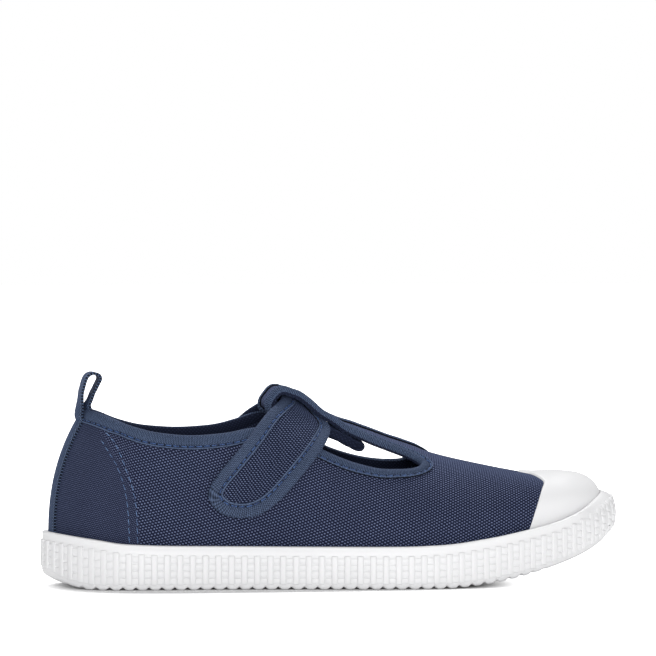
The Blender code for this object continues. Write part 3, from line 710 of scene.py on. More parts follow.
def upper_stations(side):
    """Places of the upper's ribs, as turns from heel to toe."""
    reach = OPENING_FRONT[side] - OPENING_ROUND
    alongs = [*np.arange(HEEL_END, WAIST, 1.0), *np.arange(WAIST, OPENING_ROUND, 0.75),
              *(OPENING_ROUND + reach * np.sin(np.linspace(0.0, QUARTER_TURN, 16))),
              *np.linspace(OPENING_FRONT[side], TOE_START, 18)[1:]]
    return [*np.linspace(0.0, turn_of(HEEL_END), 22)[:-1], *map(turn_of, alongs),
            *np.linspace(turn_of(TOE_START), HALF_TURN, 20)[1:]]


def grain_of(x, rise):
    """Weave coordinates of a place: along the weft, and along the warp."""
    if x < COUNTER:
        x = COUNTER + (x - COUNTER) / COUNTER_CLOSER
    ahead, below = x - GRAIN_CENTRE[0], GRAIN_CENTRE[1] - rise
    return np.array([GRAIN_RADIUS * math.atan2(ahead, below),
                     GRAIN_RADIUS - math.hypot(ahead, below)])


def side_tables(side, mate_rise=None):
    """Quarter and T-bar points of one side from heel to toe, with their grain.

    The weave of the second side runs on over the crest from its mate's, so
    how far up the weave the first side's crest lies is returned as well.
    """
    quarter, rises, bar, bar_rises, crest = [], [], [], [], []
    for turn in upper_stations(side):
        rib = RibLine(side * turn)
        rib.side = side
        low, high = opening_leans(rib)
        hem_z = floor_of(rib.x0) + GAP
        column = np.vstack([[rib.x0, rib.y0, hem_z], rib.walk(0.0, low, QUARTER_ROWS)])
        quarter.append(column)
        rises.append(hem_z + reach_along(column))
        whole = hem_z + reach_along(np.vstack([column[:1], rib.walk(0.0, QUARTER_TURN, 60)]))[-1]
        crest.append((rib.x1, whole))
        if high is not None:
            share = eased((rib.station - LEVEL_START[side]) / LEVEL_RUN)
            column[1:] += (drawn_level(column[1:], side) - column[1:]) * share
            row = rib.walk(high, QUARTER_TURN, BAR_ROWS)
            to_crest = reach_along(row)
            bar.append(lifted(drawn_level(row, side), bar_lift_of(rib.station)))
            bar_rises.append(whole - to_crest[-1] + to_crest)
    quarter, bar = np.array(quarter), np.array(bar)
    along = quarter[:, :, 0].copy()
    first = int(np.argmin(np.abs(along[:, 1] - HEEL_WRAP)))
    for j in range(along.shape[1]):
        reach = reach_along(quarter[:first + 1, j] * np.array([1.0, 1.0, 0.0]))
        along[:first + 1, j] = along[first, j] - (reach[-1] - reach)

    def grains(xs, zs, tops):
        table = []
        for row_x, row_z, (x1, whole) in zip(xs, zs, tops):
            row = np.array([grain_of(x, z) for x, z in zip(row_x, row_z)])
            if side == -1:
                row = grain_of(x1, mate_rise(x1)) + (row - grain_of(x1, whole)) * (1.0, -1.0)
            table.append(row)
        return np.array(table)

    def crest_rise(x):
        return float(np.interp(x, *zip(*crest)))

    tables = (quarter, grains(along, rises, crest),
              bar, grains(bar[:, :, 0], bar_rises, crest[len(quarter) - len(bar):]))
    return tables, crest_rise


def fold_rows(last_row, last_grain):
    """The T-bar's end carried round the fold and forwards as a flap."""
    centre = last_row[BAR_ROWS]
    knots = np.array([(centre[0], 0.0, centre[2])] + [(row.x, 0.0, row.z) for row in FOLD])
    reach = reach_along(knots)
    path_x, path_z = (free_curve(reach, knots[:, k]) for k in (0, 2))
    under_last = table_curve(FLAP, "under", by="x")
    share_of = [table_curve(FLAP, side, by="x") for side in ("lateral", "medial")]
    rows = []
    for mark in np.linspace(0.0, reach[-1], FOLD_ROWS + 1)[1:]:
        part = mark / reach[-1]
        turn = part_of(part, FLAP_TURNS_AT, 1.0)
        x = path_x(mark)
        row = []
        for p in last_row:
            side = 1.0 - (1.0 - share_of[int(p[1] > 0.0)](FLAP[0].x)) * part
            y = p[1] * side
            droop = last_height(x, y) - last_height(x, 0.0)
            rise = (p[2] - centre[2]) * side
            row.append((x, y, path_z(mark) + rise + (droop - rise) * turn * turn))
        rows.append(np.array(row))
    start = rows[-1]
    for part in np.arange(1, FLAP_ROWS + 1) / FLAP_ROWS:
        row = []
        for p, q in zip(last_row, start):
            x = q[0] + (FLAP[-1].x - q[0]) * math.sin(QUARTER_TURN * part)
            y = p[1] * share_of[int(p[1] > 0.0)](x)
            z = last_height(x, y) - under_last(x)
            row.append((x, y, q[2] + (z - q[2]) * min(3.0 * part, 1.0)))
        rows.append(np.array(row))
    reach = reach_along([last_row[BAR_ROWS]] + [row[BAR_ROWS] for row in rows])
    return rows, [last_grain - np.array([r, 0.0]) for r in reach[1:]]


def upper_tables():
    """Lateral quarter, medial quarter, and the top from the flap to the toe."""
    near, crest_rise = side_tables(1)
    far, _ = side_tables(-1, crest_rise)
    top, grain = ([np.vstack([a, b[-2::-1]]) for a, b in zip(near[k], far[k])] for k in (2, 3))
    rows, grains = fold_rows(top[0], grain[0])
    return near, far, np.array(rows[::-1] + top), np.array(grains[::-1] + grain), len(rows)


near_side, far_side, top_table, top_grain, folded_rows = upper_tables()
upper_skin = Skin(near_side[0], far_side[0], top_table)


def build_shell(canvas, lining, painted_shade):
    """Vamp, quarters and T-bar: canvas outside, lining inside, and a darker cloth with painted
    shade on the flap.
    """
    parts = [sheet("quarter", *near_side[:2]), sheet("quarter_medial", *far_side[:2]),
             sheet("top", top_table, top_grain)]
    # The flap's faces take the third finish: the darker cloth with painted shade.
    flap = FLAP_ROWS * top_table.shape[1]
    for face in parts[2].data.polygons:
        face.material_index = 2 * int(max(face.vertices) < flap)
    for part in parts:
        dress(part, WHOLE, canvas, lining, painted_shade)
    shell = join("canvas_shell", parts)
    in_edit(shell, merge_doubles)
    thicken(shell, CLOTH, -1.0, lining=1)
    return dress(shell, 60.0)


# ---- edge binding ----

BINDING_FULL = 5.3
COLLAR_BINDING = 4.2
BAR_BINDING = 3.2
# Between which places it widens, away from the middle line and backwards.
WIDENS_OUT = (13.0, 19.0)
WIDENS_BACK = (4.0, 20.0)
EDGE_SPACING = 1.0
EDGE_PASSES = 3
FACE_BEND = 1.9
# Across the binding on the outer face: how far in from the cut edge, and how
# far above the canvas.  A fine cord lies along its sewn border.
BINDING_FACE = [(0.0, -0.4), (0.05, 0.32), (0.18, 0.70), (0.38, 0.84), (0.60, 0.72),
                (0.78, 0.28), (0.95, 0.10), (1.45, 0.12), (1.9, 0.46), (2.8, 0.74),
                (3.8, 0.86), (4.7, 0.90)]
STITCH_DEPTH = 1.2
STITCH_PITCH = 2.75
EDGE_STITCH = (2.15, 0.5)
EDGE_STITCH_UP = 0.2
# Across its back, from the rim.
BINDING_BACK = [(0.6, 0.62), (1.8, 0.62), (3.2, 0.5), (4.2, 0.3), (4.6, -0.4)]
RIM_STEPS = 7
RIM_FLATNESS = 0.85
# The flap's binding takes the darker cloth with painted shade where it lies this far beneath the
# last.
FLAP_HIDDEN = 1.2
FLAP_BORDER = 3.0
FLAP_HALF = 14.0


def bound_edge_path():
    """The cut edge of the upper: both cut-outs, the collar and the T-bar's flap."""
    lines = []
    for side, (quarter, *_), border in ((1, near_side, 0), (-1, far_side, -1)):
        opening = [p for p in quarter[:, -1] if p[0] < place(OPENING_FRONT[side]) + 0.5]
        bar = top_table[folded_rows:, border, 0]
        front = folded_rows + int(np.argmin(np.abs(bar - opening[-1][0])))
        lines.append(opening + list(top_table[front::-1, border]))
    path = lines[0] + list(top_table[0, 1:-1]) + lines[1][::-1]
    clean = [path[0]]
    for p in path[1:]:
        if np.linalg.norm(p - clean[-1]) > 0.05:
            clean.append(p)
    return clean


def even_line(path, spacing, passes, closed=False):
    """A line evenly spaced and with its corners eased; an open one keeps its ends."""
    count = int(reach_along(path)[-1] / spacing)
    points = resample([*path, path[0]], count)[:-1] if closed else resample(path, count)
    ends = points[[0, -1]]
    for _ in range(passes):
        points = 0.5 * points + 0.25 * (np.roll(points, 1, axis=0) + np.roll(points, -1, axis=0))
        if not closed:
            points[[0, -1]] = ends
    return points


def binding_width(point):
    """Wider round the collar than along the T-bar and the cut-outs."""
    x, y, _ = point
    wide = part_of(max(abs(y), -x - 60.0), *WIDENS_OUT) * part_of(-x, *WIDENS_BACK)
    return BAR_BINDING + (COLLAR_BINDING - BAR_BINDING) * wide


def on_face(d, width):
    """Distance in from the sewn border, for a binding of a given width."""
    if d < FACE_BEND:
        return d
    return FACE_BEND + (d - FACE_BEND) * (width - FACE_BEND) / (BINDING_FULL - FACE_BEND)


def edge_frames(path, skin, closed):
    """Along a cut edge: its nearest place on the cloth, and which way is in and out."""
    around = [path[-1], *path, path[0]] if closed else [path[0], *path, path[-1]]
    frames = []
    for before, point, after in zip(around, path, around[2:]):
        ahead = Vector(after) - Vector(before)
        spot, out = skin.at(point)
        ahead = (ahead - out * ahead.dot(out)).normalized()
        frames.append((spot, ahead.cross(out), out))
    return frames


def binding_rows(path, frames, skin, widths, base=0.0, wall=CLOTH, puff=1.0):
    """Cross-sections of a folded tape sewn over a cut edge."""
    rows = []
    for spot, (_, inward, out), width in zip(map(Vector, path), frames, widths):
        face = [(width - on_face(d, width), base + h * puff) for d, h in BINDING_FACE]
        back = [(d * width / BINDING_FULL, base - wall - h * puff) for d, h in BINDING_BACK]
        radius = 0.5 * (face[-1][1] - back[0][1])
        hub = spot + out * (0.5 * (face[-1][1] + back[0][1]))
        laid = [(*skin.at(spot + inward * d), h) for d, h in face + back]
        laid = [place_on_skin + normal * h for place_on_skin, normal, h in laid]
        row = laid[:len(face)]
        for swing in np.arange(1, RIM_STEPS) * HALF_TURN / RIM_STEPS:
            row.append(hub + out * (radius * math.cos(swing))
                       - inward * (RIM_FLATNESS * radius * math.sin(swing)))
        row += laid[len(face):]
        rows.append(row + row[:1])
    return np.array(rows)


def groove_line(frames, skin, widths, height):
    """Line of stitches a little way in from a binding's sewn border."""
    line, outs = [], []
    for (spot, inward, _), width in zip(frames, widths):
        p, n = skin.at(spot + inward * (width - STITCH_DEPTH))
        line.append(p + n * height)
        outs.append(n)
    return line, outs


def bind(name, rows, material, painted_shade):
    """Folded tape as a mesh: one finish outside, and from its rim inwards a darker one with
    painted shade.
    """
    across = [d for d, _ in BINDING_FACE]
    hidden = reach_along(rows[0][len(across) - 1:])[1:] + across[-1]
    grain = np.stack(np.meshgrid([*across, *hidden], reach_along(rows[:, 0])), axis=2)
    binding = sheet(name, rows, grain, flip=False)
    rim = hidden[RIM_STEPS // 2]
    cloth = binding.data.uv_layers[0].data
    # Faces past the rim's middle take the darker cloth with painted shade.
    for face in binding.data.polygons:
        face.material_index = int(max(cloth[k].uv[0] for k in face.loop_indices) > rim)
    in_edit(binding, merge_doubles, turn_outwards)
    return dress(binding, WHOLE, material, painted_shade)


def build_bindings(material, painted_shade, thread):
    edge = even_line(bound_edge_path(), EDGE_SPACING, EDGE_PASSES, closed=True)
    widths = [binding_width(p) for p in edge]
    frames = edge_frames(edge, upper_skin, True)
    rows = binding_rows(edge, frames, upper_skin, widths)
    binding = bind("edge_binding", np.vstack([rows, rows[:1]]), material, painted_shade)
    # Binding faces tucked under the flap, beneath the last, take the painted shade too.
    for face in binding.data.polygons:
        x, y, z = face.center / MM
        near_flap = FLAP[0].x < x < FLAP[-1].x + FLAP_BORDER and abs(y) < FLAP_HALF
        if near_flap and z < last_height(x, y) - FLAP_HIDDEN:
            face.material_index = 1
    seam = frames_along(*groove_line(frames, upper_skin, widths, EDGE_STITCH_UP), STITCH_PITCH)
    return binding, stitch("edge_stitches", *EDGE_STITCH, seam, thread)


# ---- strap ----

STRAP_SPAN = (15.0, 65.0)
STRAP_LINES = 24
STRAP_ROWS = 72
STRAP_HALF = 24
STRAP_BASE = 2.0
STRAP_WALL = 1.3
STRAP_BINDING = 4.3
STRAP_RIM = 0.3
STRAP_STITCH_UP = 0.18
RIM_SPACING = 0.9
RIM_PASSES = 8
RIM_PUFF = 0.62
SINK = 0.5
SINK_REACH = 14.0
RISE = 0.6
RISE_REACH = 6.0
PANEL_INSET = 0.7


def strap_spot(side, lean, offset):
    """Point of the last on a plane beside the strap's middle, at a lean."""
    hem = GATHERS[int(offset > 0.0)]
    offset *= 1.0 - hem.share * eased(part_of(math.degrees(lean), hem.start, hem.full))
    square = np.array([math.cos(STRAP_PITCH) * math.cos(STRAP_YAW),
                       -math.sin(STRAP_YAW),
                       -math.sin(STRAP_PITCH) * math.cos(STRAP_YAW)])

    def behind(turn):
        spot = RibLine(side * turn).point(lean)
        return np.dot(spot - STRAP_CROSSING, square) < offset

    return RibLine(side * halve(*map(turn_of, STRAP_SPAN), 23, behind)).point(lean)


def strap_level(spot):
    """How far up the strap's slope a point lies."""
    return spot[0] * math.sin(STRAP_PITCH) + spot[2] * math.cos(STRAP_PITCH)


def strap_end(side, offset, level):
    """Lean at which a line along the strap starts from a level."""
    return halve(math.radians(2.0), math.radians(85.0), 14,
                 lambda lean: strap_level(strap_spot(side, lean, offset)) < level)


def strap_line(across, inset):
    """One line along the strap, from the lateral tip to the medial root."""
    offset = across * (0.5 * STRAP_WIDTH - inset)
    tip = tip_level_of(across) + STRAP_RIM + inset
    line = []
    for side, level in ((1, tip), (-1, STRAP_ROOT + inset)):
        leans = np.linspace(strap_end(side, offset, level), CREST_LEAN, STRAP_HALF)
        line += [strap_spot(side, lean, offset) for lean in leans][::side]
    reach = reach_along(line)
    marks = np.linspace(0.0, reach[-1], STRAP_ROWS + 1) - reach[STRAP_HALF - 1]
    return resample(line, STRAP_ROWS + 1), [(offset, mark) for mark in marks]


def strap_table(inset=0.0):
    """Points of the strap, and how its weave lies: square to its middle line."""
    turns = np.linspace(0.0, HALF_TURN, STRAP_LINES + 1)
    lines = [strap_line(-math.cos(turn), inset) for turn in turns]
    return [np.array([line[k] for line in lines]).transpose(1, 0, 2) for k in (0, 1)]


def sunk(table, grain):
    """The strap pressed down beside the T-bar, and slack inside its fold."""
    away = np.abs(grain[:, :, 1])
    near = eased((SINK_REACH - away) / (0.6 * SINK_REACH))
    inside = eased((RISE_REACH - away) / (0.6 * RISE_REACH))
    return table - np.array([0.0, 0.0, 1.0]) * (SINK * near - RISE * inside)[:, :, None]


def build_strap(canvas, ribbed, painted_shade, thread):
    table, grain = strap_table(PANEL_INSET)
    panel = sheet("strap_panel", sunk(table, grain) + outwards(table) * STRAP_BASE, grain)
    thicken(panel, STRAP_WALL, -1.0)
    dress(panel, 60.0, canvas)
    table = sunk(*strap_table())
    skin = Skin(table)
    edge = [*table[::-1, -1], *table[0, -2:0:-1], *table[:, 0]]
    edge = even_line(edge, RIM_SPACING, RIM_PASSES)
    widths = [STRAP_BINDING] * len(edge)
    frames = edge_frames(edge, skin, False)
    rows = binding_rows(edge, frames, skin, widths, STRAP_BASE, STRAP_WALL, RIM_PUFF)
    border = bind("strap_binding", rows, ribbed, painted_shade)
    line, outs = groove_line(frames, skin, widths, STRAP_BASE + STRAP_STITCH_UP)
    seam = frames_along(line, outs, STITCH_PITCH, 1.0)
    return panel, border, stitch("strap_stitches", *EDGE_STITCH, seam, thread)


# ---- heel tape ----

TAPE_COLUMNS = 8
# How far its foot lies below the foxing's edge, how far below the collar it
# leaves the heel and comes back to it, and how far above it is quite flat.
TAPE_FOOT = 1.2
TAPE_LEAVES = 4.0
TAPE_ENTERS = 2.0
TAPE_FLATTENS = 6.0


def heel_back(z, distance):
    """X and height of the heel's middle line, moved outwards by a distance."""
    rib = RibLine(0.0)
    point = rib.at_height(z)
    slope = rib.at_height(z + 0.5) - point
    slope /= np.linalg.norm(slope)
    return point[0] - slope[2] * distance, point[2] + slope[0] * distance


def heel_wrap(y, z):
    """How far the heel has turned forwards at a breadth and a height."""
    def spot(turn):
        return RibLine(-math.copysign(turn, y)).at_height(z)
    turn = halve(0.0, turn_of(10.0), 24, lambda turn: abs(spot(turn)[1]) < abs(y))
    return spot(turn)[0] - heel_back(z, 0.0)[0]


def build_heel_tape(webbing):
    """Tape up the heel, over in a pull loop and down inside the collar."""
    outer = 0.15 * GAP + 0.5 * TAPE_THICK
    inner = -(CLOTH + 2.4 * GAP + 0.5 * TAPE_THICK)
    spans = ((outer, foxing_of(-0.5 * LENGTH) - TAPE_FOOT, HEEL_HEIGHT - TAPE_LEAVES, 20),
             (inner, HEEL_HEIGHT - TAPE_ENTERS, HEEL_HEIGHT - TAPE_TUCK, 6))
    up, down = ([heel_back(z, out) for z in np.linspace(*span)] for out, *span in spans)
    loop_x, loop_z, end = free_path([up[-1], *PULL_LOOP, down[0]])
    loop = [(loop_x(m), loop_z(m)) for m in np.linspace(0.0, end, 56)[1:]]
    breadths = np.linspace(-0.5 * TAPE_WIDTH, 0.5 * TAPE_WIDTH, TAPE_COLUMNS + 1)
    rows = []
    for x, z in up + loop + down[1:]:
        curved = 1.0 - part_of(z, HEEL_HEIGHT, HEEL_HEIGHT + TAPE_FLATTENS)
        rows.append([(x + heel_wrap(y, min(z, HEEL_HEIGHT)) * curved, y, z) for y in breadths])
    rows = np.array(rows)
    tape = sheet("heel_tape_webbing", rows, flat_grain(rows), flip=True)
    thicken(tape, TAPE_THICK, 0.0)
    return dress(tape, 50.0, webbing)


# ---- toe cap ----

CAP_TUCK = 0.6
CAP_LIP = 1.0
CAP_SWELL = 14.0
CAP_EDGE_HIGH = 0.85
CAP_ROOT = 0.5
CAP_FINE = 24
CAP_CROWDING = 1.6
CREST_EASED = 6.0
MEETING_EASED = 2.0
CREST_TAIL = 8
CAP_SHEET = 0.8
CAP_FOOT_SHARE = 0.25
CAP_ROWS = 40
CAP_COLUMNS = 44


def cap_point(turn, up):
    """Point on the last, a share of the way from the foxing to the crest."""
    rib = RibLine(turn)
    low = rib.lean_at_height(foxing_of(rib.x0) - CAP_TUCK)
    fine = rib.walk(low, QUARTER_TURN, CAP_FINE)
    i = min(int(up * CAP_FINE), CAP_FINE - 1)
    return fine[i] + (fine[i + 1] - fine[i]) * (up * CAP_FINE - i)


def cap_half(side):
    """One side of the cap as it lies on the last: foot to crest, rear edge to toe."""
    edge_of = table_curve(CAP_EDGE, "along", by="up")
    table = []
    for up in np.linspace(0.0, 1.0, CAP_ROWS + 1):
        target = edge_of(100.0 * up)
        rear = halve(turn_of(70.0), HALF_TURN, 22,
                     lambda turn: cap_point(side * turn, up)[0] < target)
        shares = np.linspace(0.0, 1.0, CAP_COLUMNS + 1) ** CAP_CROWDING
        table.append([cap_point(side * (rear + (HALF_TURN - rear) * s), up) for s in shares])
    return np.array(table)


def build_toe_cap(rubber):
    """Rubber cap with a soft rolled rear edge, standing proud of the canvas."""
    halves = [cap_half(1), cap_half(-1)]
    crest = halves[0][-1]
    crest[-CREST_TAIL:] = np.linspace(crest[-CREST_TAIL], crest[-1], CREST_TAIL)
    crest[-1] = crest[-2]
    halves[1][-1] = crest
    crest_outs = None
    parts = []
    for table in halves:
        outs = outwards(table)
        outs[-1, :, 1] = outs[:, -1, 1] = 0.0
        outs[-1, -CREST_TAIL:] = outs[-3:, -1] = outs[-1, -CREST_TAIL].copy()
        outs /= np.linalg.norm(outs, axis=2)[:, :, None]
        crest_outs = outs[-1] if crest_outs is None else crest_outs
        outs[-1] = crest_outs
        from_edge = np.array([reach_along(row) for row in table])
        lip = np.clip(from_edge / CAP_LIP, 0.0, 1.0)
        height = (CAP_EDGE_HIGH + CAP_ROOT) * np.sqrt(1.0 - (1.0 - lip) ** 2) - CAP_ROOT
        height += (CAP_WALL - CAP_EDGE_HIGH) * eased(from_edge / CAP_SWELL)
        foot = eased(np.linspace(0.0, 2.0, CAP_ROWS + 1))[:, None]
        height *= CAP_FOOT_SHARE + (1.0 - CAP_FOOT_SHARE) * foot
        parts.append(sheet("cap_half", table + outs * height[:, :, None]))
    cap = join("toe_cap_rubber", parts)
    in_edit(cap, merge_doubles, turn_outwards)
    ease_crest(cap, Vector(crest[-1]) * MM)
    thicken(cap, CAP_SHEET, -1.0)
    return dress(cap, WHOLE, rubber)


def ease_crest(cap, meeting):
    """Soften the cap where its halves meet, first at the toe and then all along."""
    for reach, all_along in ((MEETING_EASED, False), (CREST_EASED, True)):
        in_edit(cap, action="DESELECT")
        for vert in cap.data.vertices:
            away = abs(vert.co.y) if all_along else (vert.co - meeting).xy.length
            vert.select = away < reach * MM
        bpy.ops.object.mode_set(mode="EDIT")
        bpy.ops.mesh.vertices_smooth(factor=0.5, repeat=16,
                                     xaxis=not all_along, yaxis=not all_along)
        bpy.ops.object.mode_set(mode="OBJECT")


# ---- sole ----

RIB_PITCH = 4.56
RIB_THICK = 0.9

# Rib and bar of the wall: size, bevel, how far its face lies in from the sole's
# edge, its foot above the tread, its head above the smooth band's foot, how high
# its middle stands in its place, how much of its place it leaves, and how many
# stand in a stack.
RIB, BAR = rows_of(
    "size bevel inset foot head middle less count",
    ((RIB_THICK, 2.35, 3.0), 0.4, 0.05, 1.7, 0.5, 1.5, 3.0, 1),
    ((RIB_THICK, 2.45, 1.2), 0.26, 0.28, 1.9, -0.2, 0.7, 1.45, 4))

SMOOTH_BAND = 3.7
NOTCH_DEPTH = 1.0
NOTCH_CREST = 0.4
NOTCHES_START = (-97.0, -89.0)
NOTCHES_END = (76.0, 66.0)
HEEL_INSET = 0.8
HEEL_INSET_SPAN = (-92.0, -102.0)
TOE_SWELL_SPAN = (84.0, 101.0)
SOLE_STEP = 0.5
WALL_LEAST = 0.2

# The sole's rings from the tread up: how far in, and how high as a share of
# the wall, plus millimetres, plus a share of the notches in the lower edge.
SOLE_PROFILE = rows_of(
    "inset share above notch",
    (16.0, 0.0, 0.0, 1.0), (6.0, 0.0, 0.0, 1.0), (2.0, 0.0, 0.0, 1.0), (1.1, 0.0, 0.35, 0.9),
    (0.6, 0.0, 1.2, 0.5), (0.55, 0.0, 2.6, 0.0), (0.55, 0.36, 0.0, 0.0), (0.55, 0.54, 0.0, 0.0),
    (0.55, 1.0, -SMOOTH_BAND - 0.3, 0.0), (0.75, 1.0, -SMOOTH_BAND + 0.2, 0.0),
    (0.75, 1.0, -2.2, 0.0), (0.75, 1.0, -1.1, 0.0), (0.6, 1.0, -0.7, 0.0), (0.7, 1.0, -0.3, 0.0),
    (1.1, 1.0, 0.0, 0.0), (2.2, 1.0, 0.05, 0.0), (FOXING_WALL, 1.0, -0.4, 0.0))

# Round the toe the wall swells: how far it moves inwards at a share of its
# height.
TOE_SWELL = rows_of(
    "up inset",
    (0.0, 0.3), (0.1, -1.0), (0.39, -1.9), (0.6, -1.5), (0.87, 0.7), (1.0, 3.4))
swell_of = table_curve(TOE_SWELL, "inset", by="up")


def notch_at(x):
    """Height of the scalloped lower edge above the sole's plane."""
    t = (x / RIB_PITCH) % 1.0 * 2.0 - 1.0
    fade = part_of(x, *NOTCHES_START) * part_of(x, *NOTCHES_END)
    return NOTCH_DEPTH * fade * part_of(abs(t), NOTCH_CREST, 1.0) ** 1.3


def wall_swell(x, z):
    """How far the wall lies inside its plain upright face, at the heel and the toe."""
    if x <= TOE_SWELL_SPAN[0]:
        return HEEL_INSET * eased(part_of(x, *HEEL_INSET_SPAN))
    up = (z - under_of(x)) / (foxing_of(x) - under_of(x))
    return swell_of(up) * eased(part_of(x, *TOE_SWELL_SPAN))


def spaced_turns(until, marks_of):
    """Turns of marks set along the sole's edge, worked out from its length."""
    fine = np.linspace(0.0, until, round(2000 * until / HALF_TURN) + 1)
    reach = reach_along([outline(turn) for turn in fine])
    return np.interp(marks_of(reach[-1]), reach, fine)


def sole_turns():
    """Stations round the sole, evenly spaced along its edge, same at both sides."""
    half = spaced_turns(HALF_TURN,
                        lambda size: np.linspace(0.0, size, int(size / SOLE_STEP) + 1))
    return [*half, *(2 * HALF_TURN - half[-2:0:-1])]


def build_sole(rubber):
    """Cup sole: scalloped tread edge, wall, smooth band with a lip, and the cup."""
    turns = sole_turns()

    def ring(inset, height):
        points = []
        for turn in turns:
            x = outline(turn, inset)[0]
            swell = wall_swell(x, height(x)) if inset < FOXING_WALL else 0.0
            depth = min(inset + swell, FOXING_WALL - WALL_LEAST) if swell > 0.0 else inset + swell
            x, y = outline(turn, depth)
            points.append((x, y, height(x)))
        return points + points[:1]

    rings = [ring(row.inset, lambda x: under_of(x) + row.share * (foxing_of(x) - under_of(x))
                  + row.above + row.notch * notch_at(x)) for row in SOLE_PROFILE]
    rings.append(ring(FOXING_WALL, floor_of))
    body = sheet("sole_body", rings, flip=False)
    close_across(body, len(rings), len(turns))
    in_edit(body, merge_doubles, turn_outwards)
    return dress(body, 40.0, rubber)


def close_across(body, rings, count):
    """Close the tread side and the cup's floor with strips from side to side."""
    work = bmesh.new()
    work.from_mesh(body.data)
    work.verts.ensure_lookup_table()
    for first in (0, (rings - 1) * (count + 1)):
        for k in range(count // 2):
            corners = dict.fromkeys([k, k + 1, (count - k - 1) % count, (count - k) % count])
            if len(corners) > 2:
                work.faces.new([work.verts[first + corner] for corner in corners])
    work.to_mesh(body.data)
    work.free()


def rib_turns():
    """Turns of the wall's ribs, evenly spaced, and of the gaps between them."""
    def marks(size, shift):
        count = int(round(size / RIB_PITCH))
        return (np.arange(count) + shift) * size / count
    return [spaced_turns(2.0 * HALF_TURN, lambda size: marks(size, shift))
            for shift in (0.5, 1.0)]


def rounded_block(size, bevel, halved=False):
    """A block with rounded corners; X is its face's way out."""
    alone()
    bpy.ops.mesh.primitive_cube_add(size=1.0)
    block = bpy.context.object
    block.scale = [s * MM for s in size]
    bpy.ops.object.transform_apply(location=True, rotation=True, scale=True)
    finish_with(block, "BEVEL", width=bevel * MM, segments=2, limit_method="NONE")
    if halved:
        in_edit(block, lambda: bpy.ops.mesh.bisect(plane_co=(0, 0, 0), plane_no=(0, 0, 1)))
    return block


def wall_frame(turn, inset, z):
    x, y = outline(turn, inset)
    ax, ay = outline(turn, inset + 1.0)
    out = np.array([x - ax, y - ay, 0.0])
    return np.array([x, y, z]), out, np.array([-out[1], out[0], 0.0]), np.array([0.0, 0.0, 1.0])


def wall_blocks(name, block, turns, rubber):
    """Rounded blocks round the wall, one or a stack of them at each turn."""
    frames, stretch = [], []
    for turn in turns:
        x = outline(turn)[0]
        low = under_of(x) + block.foot
        step = (foxing_of(x) - SMOOTH_BAND + block.head - low) / block.count
        for k in range(block.count):
            height = low + k * step + block.middle
            frames.append(wall_frame(turn, block.inset + 0.5 * RIB_THICK, height))
            stretch.append(step - block.less)
    model = rounded_block(block.size, block.bevel, halved=block.count == 1)
    return dress(copies(name, model, frames, stretch, wall_swell), WHOLE, rubber)


def build_wall_pattern(rubber):
    """Upright ribs round the wall, with four short bars stacked between each two."""
    ribs, gaps = rib_turns()
    return (wall_blocks("wall_ribs", RIB, ribs, rubber),
            wall_blocks("wall_bars", BAR, gaps, rubber))


SOCK_GAP = 0.5
SOCK_DISH = 0.7
SOCK_THICK = 2.0


def build_sock(cloth):
    """Sock over the cup's floor, slightly dished across."""
    inset = FOXING_WALL + GAP + CLOTH + SOCK_GAP
    table = []
    for turn in np.linspace(0.02, HALF_TURN - 0.02, 90):
        near = np.array(outline(turn, inset))
        far = np.array(outline(-turn, inset))
        row = []
        for share in np.linspace(0.0, 1.0, 21):
            x, y = near + (far - near) * share
            dish = SOCK_DISH * (2.0 * share - 1.0) ** 4
            row.append((x, y, floor_of(x) + GAP + INSOLE_THICK + dish - SOCK_GAP))
        table.append(row)
    sock = sheet("sock", table, flip=False)
    if sum(f.normal.z for f in sock.data.polygons) < 0.0:
        in_edit(sock, bpy.ops.mesh.flip_normals)
    thicken(sock, SOCK_THICK, -1.0)
    return dress(sock, 60.0, cloth)


# ---- counter stitching ----

COUNTER_FRONT = rows_of(
    "x z",
    (-83.5, 56.8), (-81.2, 54.2), (-78.6, 50.2), (-75.3, 41.0), (-73.5, 35.3), (-72.4, 28.0),
    (-72.0, 15.6))
COUNTER_REAR = rows_of(
    "x z",
    (-83.7, 52.4), (-81.5, 48.4), (-79.1, 44.1), (-77.4, 39.4), (-76.1, 34.1), (-75.2, 26.0),
    (-74.9, 15.6))

# Stitch: length and thickness.  Seam: pitch, start, height and slant.
COUNTER_STITCH = (2.1, 0.32)
COUNTER_SEAM = (3.1, 0.8, 0.05, 0.12)


def build_counter_stitches(thread):
    """Twin rows of stitches that hold the heel counter, on both sides."""
    frames = []
    for side in (1, -1):
        for seam in (COUNTER_FRONT, COUNTER_REAR):
            seam_x, seam_z, end = free_path(seam)
            spots = [upper_skin.seen_from(side, seam_x(m), seam_z(m))
                     for m in np.linspace(0.0, end, 60)]
            frames += frames_along(*zip(*spots), *COUNTER_SEAM)
    return stitch("counter_stitches", *COUNTER_STITCH, frames, thread)


# ---- materials ----


def on_value(operation):
    """Method that adds one kind of Math node."""
    return lambda self, *others: self.paint.node(
        "ShaderNodeMath", {"operation": operation}, [self, *others])


class Value:
    """A number that varies over a surface; sums on it become Math nodes."""

    def __init__(self, paint, socket):
        self.paint = paint
        self.socket = socket

    __add__ = __radd__ = on_value("ADD")
    __mul__ = __rmul__ = on_value("MULTIPLY")
    __sub__ = on_value("SUBTRACT")
    __pow__ = on_value("POWER")
    sine = on_value("SINE")
    size = on_value("ABSOLUTE")
    above = on_value("GREATER_THAN")
    least = on_value("MINIMUM")
    most = on_value("MAXIMUM")

    def __rsub__(self, other):
        return (self * -1.0) + other

    def wave(self, pitch):
        """Sine wave that repeats at a pitch."""
        return (self * (2.0 * math.pi / pitch)).sine()

    def ramp(self, low, high):
        """0 below low, 1 above high, and a soft step between."""
        return self.paint.node("ShaderNodeMapRange", {"interpolation_type": "SMOOTHSTEP"},
                               [self, low, high, 0.0, 1.0])


